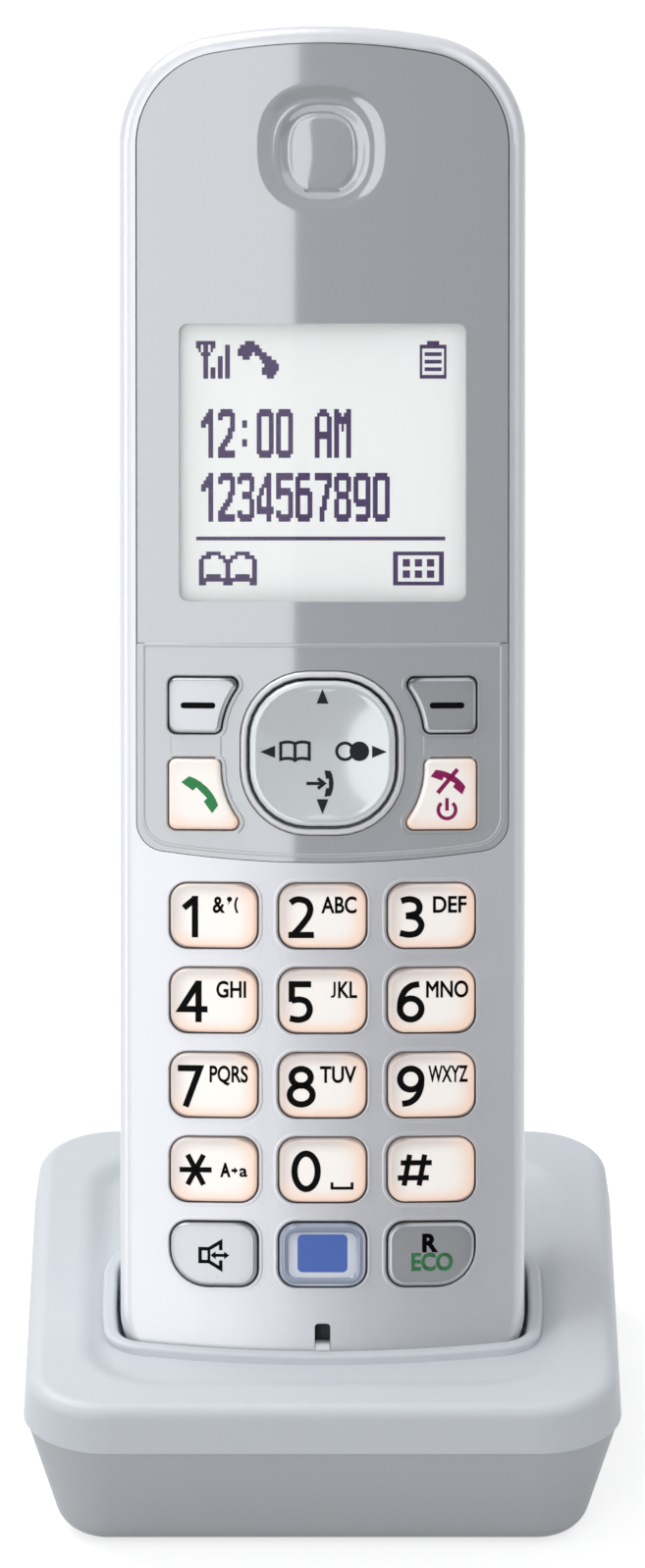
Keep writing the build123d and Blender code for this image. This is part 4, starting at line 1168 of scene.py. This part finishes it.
@dataclass
class Handset:
    """The handset's face: panels, key surrounds, four-way key and prints."""

    shop: Workshop
    keys: KeyField = field(default_factory=KeyField)
    ear: Earpiece = Earpiece()
    half_w: float = 24.0
    crown_r: float = 74.0
    crown_z: float = 88.7
    corner_r: float = 13.0
    corner_z: float = 148.7
    panel_in: float = 2.1
    split_z: float = 90.0
    window_z: float = 111.3
    window_w: float = 33.9
    window_h: float = 32.8
    window_r: float = 1.1
    skin_top: float = 162.0
    skin_thick: float = 0.9
    mesh_step: float = 0.75
    mesh_clear: float = 0.45
    mesh_weld: float = 1e-5
    spans: int = 40
    key_step: float = 0.9
    digit_z: float = -0.1
    digit_high: float = 4.95
    digit_line: float = 0.74
    letter_z: float = 1.35
    letter_high: float = 1.86
    letter_weight: float = 0.06
    ink_lift: float = 0.02
    nav_ink_lift: float = 0.03
    hollow_rise: float = 0.14
    hollow_bowl: float = 0.0109
    hollow_twist: float = 9.4e-5
    bead_root: float = 0.03
    lcd_depth: float = 2.87

    def build(self) -> None:
        """Make every piece of the handset."""
        self.dress_nodes()
        self.display_skin()
        self.surrounds()
        self.nav_cap()
        self.nav_trim()
        self.panel_beads()
        self.mic_sill()
        self.prints()
        self.screen()

    def dress_nodes(self) -> None:
        """Finishes of the handset's own nodes."""
        self.shop.dress({
            Coat.SILVER: ("front_case", "rear_case", "battery_cover"),
            Coat.PANEL: ("key_panel",),
            Coat.WINDOW: ("display_window",),
            Coat.LCD: ("lcd_glass",),
            Coat.HOLDER: ("lcd_holder",),
            Coat.KEY_LIT: [f"key_{name}" for name in self.keys.dial_spots()],
            Coat.SIDE_LIT: ("talk_key", "off_key"),
            Coat.KEY_SILVER: ("soft_key_left", "soft_key_right", "speaker_key", "recall_key"),
            Coat.KEY_BLUE: ("function_key",),
            Coat.SILICONE: ("keypad_mat", "microphone_boot", "receiver_gasket"),
            Coat.GIMBAL: ("nav_rocker",),
            Coat.BOARD: ("main_board",),
            Coat.TIN: ("board_shield", "antenna"),
            Coat.SOUND: ("earpiece_receiver", "loudspeaker", "microphone"),
            Coat.CELL: ("battery_left", "battery_right"),
            Coat.CONTACT: ("battery_contacts", "handset_charge_contacts"),
            Coat.SCREW: ("case_screws",),
        })

    def panel_loop(self) -> Loop:
        """Outline of the upper panel: straight foot, straight sides, arched crown.

        Returns:
            The outline, anticlockwise from the foot of its right side.
        """
        side = self.half_w - self.panel_in
        corner_x = self.half_w - self.corner_r
        meet = math.degrees(math.atan2(self.corner_z - self.crown_z, corner_x))
        rise = self.corner_z - self.split_z
        right = [(side, self.split_z + step * rise / self.spans) for step in range(self.spans)]
        right += arc(corner_x, self.corner_z, self.corner_r - self.panel_in, 0, meet, 20)
        crown = arc(0, self.crown_z, self.crown_r - self.panel_in, meet, 180 - meet, 24)
        foot = [(-side + 2 * side * step / self.spans, self.split_z) for step in range(1, self.spans)]
        return right + crown[1:-1] + [(-x, y) for x, y in reversed(right)] + foot

    def display_skin(self) -> None:
        """Upper gloss panel with its soft earpiece hollow and window opening."""
        outer, slot = self.panel_loop(), self.ear.slot()
        window = rectangle(0, self.window_z, self.window_w, self.window_h, self.window_r)
        window = dense(window, self.mesh_step)
        spots: list[Vector] = []
        edges: list[tuple[int, int]] = []
        for loop in (outer, window, slot):
            start = len(spots)
            spots += [Vector(point) for point in loop]
            edges += [(start + i, start + (i + 1) % len(loop)) for i in range(len(loop))]
        clear = self.mesh_clear * self.mesh_step
        hem = grown(outer, -clear)
        holes = (grown(window, clear), grown(slot, self.ear.slot_clear))
        for step, fine in ((self.mesh_step, False), (self.ear.mesh_step, True)):
            columns, rows = int(2 * self.half_w / step), int((self.skin_top - self.split_z) / step)
            for r in range(rows + 1):
                for c in range(columns + 1):
                    x, z = -self.half_w + (c + 0.5 * (r % 2)) * step, self.split_z + r * step
                    if self.ear.near(x, z) is not fine:
                        continue
                    if inside(hem, x, z) and not any(inside(hole, x, z) for hole in holes):
                        spots.append(Vector((x, z)))
        flat, _, faces, *_ = delaunay_2d_cdt(spots, edges, [], 0, self.mesh_weld)
        bm = bmesh.new()
        verts = [bm.verts.new(FACE.point(p.x, p.y, self.ear.sink(p.x, p.y))) for p in flat]
        for a, b, c in faces:
            mid = (flat[a] + flat[b] + flat[c]) / 3
            if inside(outer, *mid) and not inside(window, *mid) and not inside(slot, *mid):
                bm.faces.new((verts[a], verts[b], verts[c]))
        bmesh.ops.recalc_face_normals(bm, faces=bm.faces[:])
        back = Vector((0, math.cos(FACE.lean), -math.sin(FACE.lean))) * (self.skin_thick * MM)
        rim = [edge for edge in bm.edges if edge.is_boundary]
        walls = bmesh.ops.extrude_edge_only(bm, edges=rim)
        for vert in (item for item in walls["geom"] if isinstance(item, bmesh.types.BMVert)):
            vert.co += back
        for edge in rim:
            edge.smooth = False
        bmesh.ops.delete(bm, geom=[v for v in bm.verts if not v.link_faces], context="VERTS")
        self.shop.place("display_skin", bm, "handset", Coat.PANEL, "gloss_panel", ["display_panel"])

    def surrounds(self) -> None:
        """Sloped gap sheet in a dark colour of painted shade, and soft raised border round every press key.
        """
        for name, loop in self.keys.outlines().items():
            on_panel = name in ("soft_key_left", "soft_key_right", "talk_key", "off_key")
            coat, slot = (Coat.PANEL, "gloss_panel") if on_panel else (Coat.SILVER, "silver_case")
            path = dense(loop, self.key_step)
            # The gap sheet wears painted shade
            self.shop.place(f"gap_{name}", loft(swept(path, GAP_PROFILE)), "handset", Coat.GAP, slot)
            self.shop.place(f"surround_{name}", loft(swept(path, BORDER_PROFILE)), "handset", coat, slot)

    def nav_cap(self) -> None:
        """Four-way key cap with a raised edge and a hollowed top."""
        loop, middle = self.keys.nav_loop(), self.keys.nav_z
        loops = swept(loop, CAP_PROFILE)
        brim = grown(loop, CAP_PROFILE[-1][0])
        for share in CAP_SHARES:
            spots = [(x * share, middle + (z - middle) * share) for x, z in brim]
            loops.append([FACE.point(x, z, self.hollow(x, z)) for x, z in spots])
        bm = loft(loops)
        bm.verts.ensure_lookup_table()
        bm.faces.new(bm.verts[-len(loop):])
        self.shop.place("nav_cap", bm, "nav_key", Coat.NAV, "nav_silver", ["nav_key"])

    def hollow(self, x: float, z: float) -> float:
        """Depth below the face of the four-way key's hollow top."""
        across, along = x * x, (z - self.keys.nav_z) ** 2
        return -self.hollow_rise - self.hollow_bowl * (across + along) + self.hollow_twist * across * along

    def nav_trim(self) -> None:
        """Half-round ring about the four-way key."""
        bm = loft(swept(self.keys.nav_loop(), TRIM_PROFILE))
        self.shop.place("nav_trim", bm, "handset", Coat.RING, "trim", ["nav_ring"])

    def bead(self, name: str, path: Loop, width: float, high: float) -> None:
        """Half-round bead along a path on the face.

        Args:
            name: piece name.
            path: its middle line.
            width, high: size of its section.
        """
        rows: list[list[Vector]] = []
        for i, (x, z) in enumerate(path):
            before, after = Vector(path[max(0, i - 1)]), Vector(path[min(len(path) - 1, i + 1)])
            along = (after - before).normalized()
            row = []
            for share in (-1.0, -0.7, -0.25, 0.25, 0.7, 1.0):
                sink = self.bead_root - (high + self.bead_root) * math.sqrt(1 - share * share)
                out = share * width / 2
                row.append(FACE.point(x - along.y * out, z + along.x * out, sink))
            rows.append(row)
        bm = loft(rows, closed=False)
        bmesh.ops.recalc_face_normals(bm, faces=bm.faces[:])
        self.shop.place(name, bm, "handset", Coat.PANEL, "gloss_panel")

    def panel_beads(self) -> None:
        """Raised border of the lower panel and the line between the panels."""
        side, top, corner_z, corner_r, foot_z, foot_r = 21.2, 89.6, 66.5, 3.4, 64.9, 141.9
        foot = [(x, foot_z + foot_r - math.sqrt(foot_r ** 2 - x * x), 0.0) for x in range(16, -17, -2)]
        path = rounded([(side, top, 0.0), (side, corner_z, corner_r), *foot,
                        (-side, corner_z, corner_r), (-side, top, 0.0)], closed=False)
        self.bead("bead_lower_panel", path, 0.5, 0.08)
        self.bead("bead_split", [(x, 89.75) for x in range(-21, 22)], 0.5, 0.1)
        stubs = {"left_outer": -18.2, "left_inner": -12.25, "right_inner": 12.25, "right_outer": 18.2}
        for name, x in stubs.items():
            self.bead(f"bead_{name}", [(x, 76.2 + 0.5 * step) for step in range(7)], 0.85, 0.02)

    def mic_sill(self) -> None:
        """Sloped sill in the lower part of the microphone slot."""
        rows = [[FACE.point(x, z, sink) for x in (-0.86, -0.4, 0.0, 0.4, 0.86)] for z, sink in SILL_PROFILE]
        self.shop.place("mic_sill", loft(rows, closed=False), "handset", Coat.SILVER, "silver_case")

    def key_print(self, name: str, legend: Legend, coat: Coat) -> None:
        """Lay a print on a press key's top."""
        bm = legend.lay(on_face(-self.keys.proud - self.ink_lift))
        self.shop.place(f"print_{name}_{coat.name.lower()}", bm, name, coat, "key_white")

    def prints(self) -> None:
        """Legends of all the keys."""
        self.dial_prints()
        self.side_prints()
        self.nav_prints()
        self.function_prints()

    def dial_prints(self) -> None:
        """Digits, letters and signs of the dial keys."""
        for name, (x, z) in self.keys.dial_spots().items():
            legend = Legend(x, z)
            if name in DIGIT_PLACES:
                shift, wide = DIGIT_PLACES[name]
                legend.digit(name, shift, self.digit_z, wide, self.digit_high, self.digit_line)
            if name in KEY_LETTERS:
                words, shift, wide = KEY_LETTERS[name]
                legend.text(words, shift, self.letter_z, self.letter_high, wide, self.letter_weight)
            if name == "1":
                legend.disc(1.86, 2.0, 0.3).fill([(2.16, 2.0), (1.62, 1.22), (1.82, 1.85)])
            for path, width in KEY_STROKES.get(name, ()):
                legend.stroke(path, width)
            if name == "star":
                legend.text("A", 1.35, 0, 1.52, 1.25, 0.1).text("a", 3.49, -0.04, 1.4, 0.95, 0.05)
                legend.fill([(2.4, -0.45), (2.85, -0.05), (2.4, 0.35)])
            self.key_print(f"key_{name}", legend, Coat.INK_BLACK)

    def side_prints(self) -> None:
        """Marks of the soft keys, the talk key and the off key."""
        for name, x in (("soft_key_left", -14.7), ("soft_key_right", 14.7)):
            self.key_print(name, Legend().fill(rectangle(x, 82.65, 4.1, 0.72, 0.34)), Coat.INK_BLACK)
        self.key_print("talk_key", Legend().receiver(-14.5, 72.1, 5.1, -45), Coat.INK_GREEN)
        off = Legend().receiver(14.85, 73.55, 4.28, -30).stroke([(13.6, 72.3), (15.95, 75.1)], 0.5)
        off.stroke(arc(14.7, 70.3, 1.03, 130, 410, 20), 0.42).stroke([(14.7, 70.2), (14.7, 71.7)], 0.42)
        self.key_print("off_key", off, Coat.INK_MAGENTA)

    def nav_prints(self) -> None:
        """Arrows and signs of the four-way key."""
        legend = Legend(0.0, self.keys.nav_z)
        for arrow in ([(-0.7, 5.9), (0.7, 5.9), (0, 7.65)], [(-0.7, -5.4), (0.7, -5.4), (0, -7.15)],
                      [(-5.6, -0.52), (-5.6, 0.92), (-7.35, 0.2)], [(5.85, -0.52), (5.85, 0.92), (7.6, 0.2)]):
            legend.fill(arrow)
        leaf = ((0.0, -0.78), (0.4, -0.62), (0.8, -0.57), (1.25, -0.6), (1.68, -0.7),
                (1.68, 1.22), (1.25, 1.33), (0.8, 1.36), (0.4, 1.31), (0.0, 1.15))
        for side in (-1, 1):
            legend.stroke([(side * x - 3.25, z) for x, z in leaf], 0.36, True)
        legend.ring(2.65, 0.25, 0.98, 0.36).disc(4.35, 0.25, 1.16).stroke([(-1.9, -3.55), (0.2, -3.55)], 0.38)
        legend.stroke([(-0.55, -2.95), (0.2, -3.55), (-0.55, -4.15)], 0.38).receiver(0.55, -3.55, 3.1, -90)
        bm = legend.lay(lambda x, y: FACE.point(x, y, self.hollow(x, y) - self.nav_ink_lift))
        self.shop.place("print_nav", bm, "nav_key", Coat.INK_GREY, "nav_silver")

    def function_prints(self) -> None:
        """Signs of the speaker, function and recall keys."""
        x, z = self.keys.pitch_x, self.keys.function_z
        speaker = Legend(-x, z).stroke([(0.8, 0.5), (0.8, 1.5), (-0.6, 0.66), (-1.65, 0.66), (-1.65, -0.86),
                                        (-0.6, -0.86), (0.8, -1.72), (0.8, -0.7)], 0.42)
        speaker.stroke([(-0.6, 0.66), (-0.6, -0.86)], 0.34).stroke([(-0.2, -0.1), (1.5, -0.1)], 0.36)
        for tip, back in ((-0.42, 0.2), (1.82, 1.2)):
            speaker.fill([(tip, -0.1), (back, 0.36), (back, -0.56)])
        self.key_print("speaker_key", speaker, Coat.INK_BLACK)
        self.key_print("recall_key", Legend(x, z).text("R", -0.1, 1.36, 1.98, 1.9, 0.13), Coat.INK_BLACK)
        eco = Legend(x, z).text("ECO", 0.12, -0.88, 1.95, 4.9, 0.1)
        self.key_print("recall_key", eco, Coat.INK_PALE_GREEN)
        self.key_print("function_key", Legend().fill(rectangle(0, z + 0.2, 5.9, 4.5, 0.6)), Coat.INK_BLUE)
        profile = [(-inset, -self.keys.proud - rise) for inset, rise in RIM_PROFILE]
        bm = loft(swept(self.keys.outlines()["function_key"], profile))
        self.shop.place("function_rim", bm, "function_key", Coat.KEY_RIM, "key_clear_blue")

    def screen(self) -> None:
        """Dots of the display."""
        cell, left, top, bottom, pitch = (0.2854, 0.4445), -14.91, 125.61, 100.73, 8
        legend = Legend().dots(AERIAL, left, top, cell).dots(RECEIVER, -10.0, top, cell)
        legend.dots(CHARGE, 11.47, top, cell).dots(BOOK, -14.59, bottom, cell).dots(PAD, 8.33, bottom, cell)
        legend.dots(["#" * 103], left, 102.5, cell)
        for words, height in (("12:00 AM", 117.58), ("1234567890", 110.04)):
            for spot, mark in enumerate(words):
                legend.dots(DOTS[mark], -14.61 + spot * pitch * cell[0], height, cell)
        bm = legend.lay(lambda x, y: FACE.flat(x, y, self.lcd_depth))
        self.shop.place("screen_dots", bm, "handset", Coat.LCD_INK, "lcd")


@dataclass
class ChargingBase:
    """The low square base."""

    shop: Workshop
    wire: float = 0.18 * MM
    turns: int = 3
    turn_steps: int = 20
    wire_sides: int = 8
    keep: float = 0.25

    def build(self) -> None:
        """Dress the base's nodes and make the springs of its pins."""
        self.shop.dress({
            Coat.BASE_LIGHT: ("base_cover",),
            Coat.BASE_DARK: ("base_bottom",),
            Coat.BOARD: ("base_board",),
            Coat.BLACK: ("dc_jack", "charge_pin_barrels"),
            Coat.CONTACT: ("charge_pin_left", "charge_pin_right"),
            Coat.SCREW: ("base_screws",),
            Coat.RUBBER: ("base_feet",),
        })
        for side in ("left", "right"):
            self.spring(side)

    def spring(self, side: str) -> None:
        """Coil spring under a charge pin.

        Args:
            side: the pin's side, left or right.
        """
        low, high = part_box(f"pin_spring_{side}")
        middle, radius = (low + high) / 2, (high.x - low.x) / 2 - self.wire / 2
        foot, rise = low.z + self.wire / 2, high.z - low.z - self.wire
        steps = self.turns * self.turn_steps
        section = [2 * math.pi * i / self.wire_sides for i in range(self.wire_sides)]
        loops = []
        for step in range(steps + 1):
            turn = 2 * math.pi * step / self.turn_steps
            out = Vector((math.cos(turn), math.sin(turn), 0))
            centre = Vector((middle.x, middle.y, foot + rise * step / steps)) + radius * out
            loops.append([centre + self.wire / 2 * (math.cos(a) * out + Vector((0, 0, math.sin(a))))
                          for a in section])
        coil = self.shop.place(f"coil_{side}", loft(loops), "base", Coat.TIN, "contacts",
                               [f"pin_spring_{side}"])
        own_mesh(coil)


@dataclass
class Studio:
    """Floor, cards, lamps, sky and camera."""

    rise: float = math.radians(25.5)
    distance: float = 1.2
    target: Spot = (0.0, 0.00505, 0.08211)
    focal_px: float = 10352.0
    frame_px: tuple[int, int] = (657, 1598)
    sensor: float = 24.0
    near: float = 0.01
    sky_light: float = 0.55
    floor_half: float = 3.0
    floor_tone: float = 0.5
    floor_lift: float = 0.67
    box_size: Point = (1.2, 2.0)
    box_foot: float = 0.02
    box_power: float = 8.6
    card_y: float = -1.5
    card_edge: float = -0.105
    card_right: float = 1.3
    card_rough: float = 0.9

    def build(self) -> None:
        """Set the stage."""
        bpy.context.scene.view_settings.view_transform = "Standard"
        self.camera()
        self.sky()
        self.floor()
        self.cards()

    def camera(self) -> None:
        """Camera at the photograph's angle."""
        data = bpy.data.cameras.new("camera")
        data.sensor_fit = "VERTICAL"
        data.sensor_height = self.sensor
        data.lens = self.focal_px * data.sensor_height / self.frame_px[1]
        data.clip_start = self.near
        data.dof.use_dof = False
        eye = bpy.data.objects.new("camera", data)
        away = Vector((0, -math.cos(self.rise), math.sin(self.rise))) * self.distance
        eye.location = Vector(self.target) + away
        eye.rotation_euler = (math.pi / 2 - self.rise, 0, 0)
        bpy.context.scene.collection.objects.link(eye)
        bpy.context.scene.camera = eye

    def sky(self) -> None:
        """White surround for the eye, softer light for the object."""
        world = bpy.data.worlds.new("studio_sky")
        bpy.context.scene.world = world
        world.use_nodes = True
        graph = Graph(world.node_tree)
        back = world.node_tree.nodes["Background"]
        back.inputs["Color"].default_value = (1.0, 1.0, 1.0, 1.0)
        extra = graph.math("MULTIPLY", self.seen(graph), 1 - self.sky_light)
        graph.link(graph.math("ADD", extra, self.sky_light), back.inputs["Strength"])

    @staticmethod
    def seen(graph: Graph) -> Socket:
        """Mask of the rays that show a surface to the eye, straight, mirrored or through glass.

        Args:
            graph: the graph that the mask goes into.

        Returns:
            The mask.
        """
        path = graph.add("LightPath")
        seen = graph.math("MAXIMUM", path.outputs["Is Camera Ray"], path.outputs["Is Glossy Ray"])
        return graph.math("MAXIMUM", seen, path.outputs["Is Transmission Ray"])

    def card(self, name: str, corners: Sequence[Spot], colour: Colour) -> Material:
        """Plain card of the studio set.

        Args:
            name: card name.
            corners: its corner points.
            colour: its colour.

        Returns:
            The card's material.
        """
        mesh = bpy.data.meshes.new(name)
        mesh.from_pydata(corners, [], [tuple(range(len(corners)))])
        material = bpy.data.materials.new(name)
        material.use_nodes = True
        shader = material.node_tree.nodes["Principled BSDF"]
        shader.inputs["Base Color"].default_value = colour
        shader.inputs["Roughness"].default_value = self.card_rough
        mesh.materials.append(material)
        piece = bpy.data.objects.new(name, mesh)
        piece.visible_camera = name == "floor"
        bpy.context.scene.collection.objects.link(piece)
        return material

    def floor(self) -> None:
        """Pale floor under the base, white to the eye, that keeps its shadows."""
        half, tone = self.floor_half, self.floor_tone
        corners = [(-half, -half, 0), (half, -half, 0), (half, half, 0), (-half, half, 0)]
        material = self.card("floor", corners, (tone, tone, tone, 1.0))
        graph = Graph(material.node_tree)
        shader = material.node_tree.nodes["Principled BSDF"]
        shader.inputs["Emission Color"].default_value = (1.0, 1.0, 1.0, 1.0)
        lift = graph.math("MULTIPLY", self.seen(graph), self.floor_lift)
        graph.link(lift, shader.inputs["Emission Strength"])

    def lamp(self, name: str, spot: Vector, aim: Vector, size: Point, power: float) -> None:
        """Soft area lamp.

        Args:
            name: lamp name.
            spot: its place.
            aim: the point that it faces.
            size: width and height.
            power: watts.
        """
        data = bpy.data.lights.new(name, "AREA")
        data.shape = "RECTANGLE"
        data.size, data.size_y = size
        data.energy = power
        lamp = bpy.data.objects.new(name, data)
        lamp.location = spot
        lamp.rotation_euler = (aim - spot).to_track_quat("-Z", "Y").to_euler()
        bpy.context.scene.collection.objects.link(lamp)

    def cards(self) -> None:
        """Soft box on the left, grey card on the right, lamps overhead and at the sides."""
        wide, high = self.box_size
        middle = Vector((self.card_edge - wide / 2, self.card_y, high / 2 + self.box_foot))
        self.lamp("soft_box", middle, middle + Vector((0, 1, 0)), self.box_size, self.box_power)
        for name, spot, aim, size, watts in (
                ("top_box", (-0.6, 0.45, 1.25), (0, 0, 0.08), (0.8, 0.8), 12.0),
                ("side_strip", (0.75, -0.5, 0.75), (0, 0.04, 0.16), (0.4, 0.9), 1.6),
                ("left_strip", (-1.0, -0.3, 0.35), (0, 0, 0.1), (0.3, 0.7), 1.6)):
            self.lamp(name, Vector(spot), Vector(aim), size, watts)
        grey, dark, pale = (0.455, 0.465, 0.485, 1.0), (0.09, 0.093, 0.096, 1.0), (0.75, 0.76, 0.78, 1.0)
        left, right, y = self.card_edge, self.card_right, self.card_y
        for name, low, top, colour in (("grey_card", 0.5, 1.3, grey), ("low_card", 0.0, 0.5, dark)):
            self.card(name, [(left, y, low), (right, y, low), (right, y, top), (left, y, top)], colour)
        x, front, back, top = 1.0, -1.2, 0.9, 1.2
        self.card("side_card", [(x, front, 0.0), (x, back, 0.0), (x, back, top), (x, front, top)], pale)


def main() -> None:
    """Build the phone, its base and the studio."""
    logging.basicConfig(level=logging.INFO, format="%(message)s")
    for name in ("Cube", "Light", "Camera"):
        if name in bpy.data.objects:
            bpy.data.objects.remove(bpy.data.objects[name])
    shop = Workshop(Paintbox())
    ChargingBase(shop).build()
    Handset(shop).build()
    Studio().build()


if __name__ == "__main__":
    main()
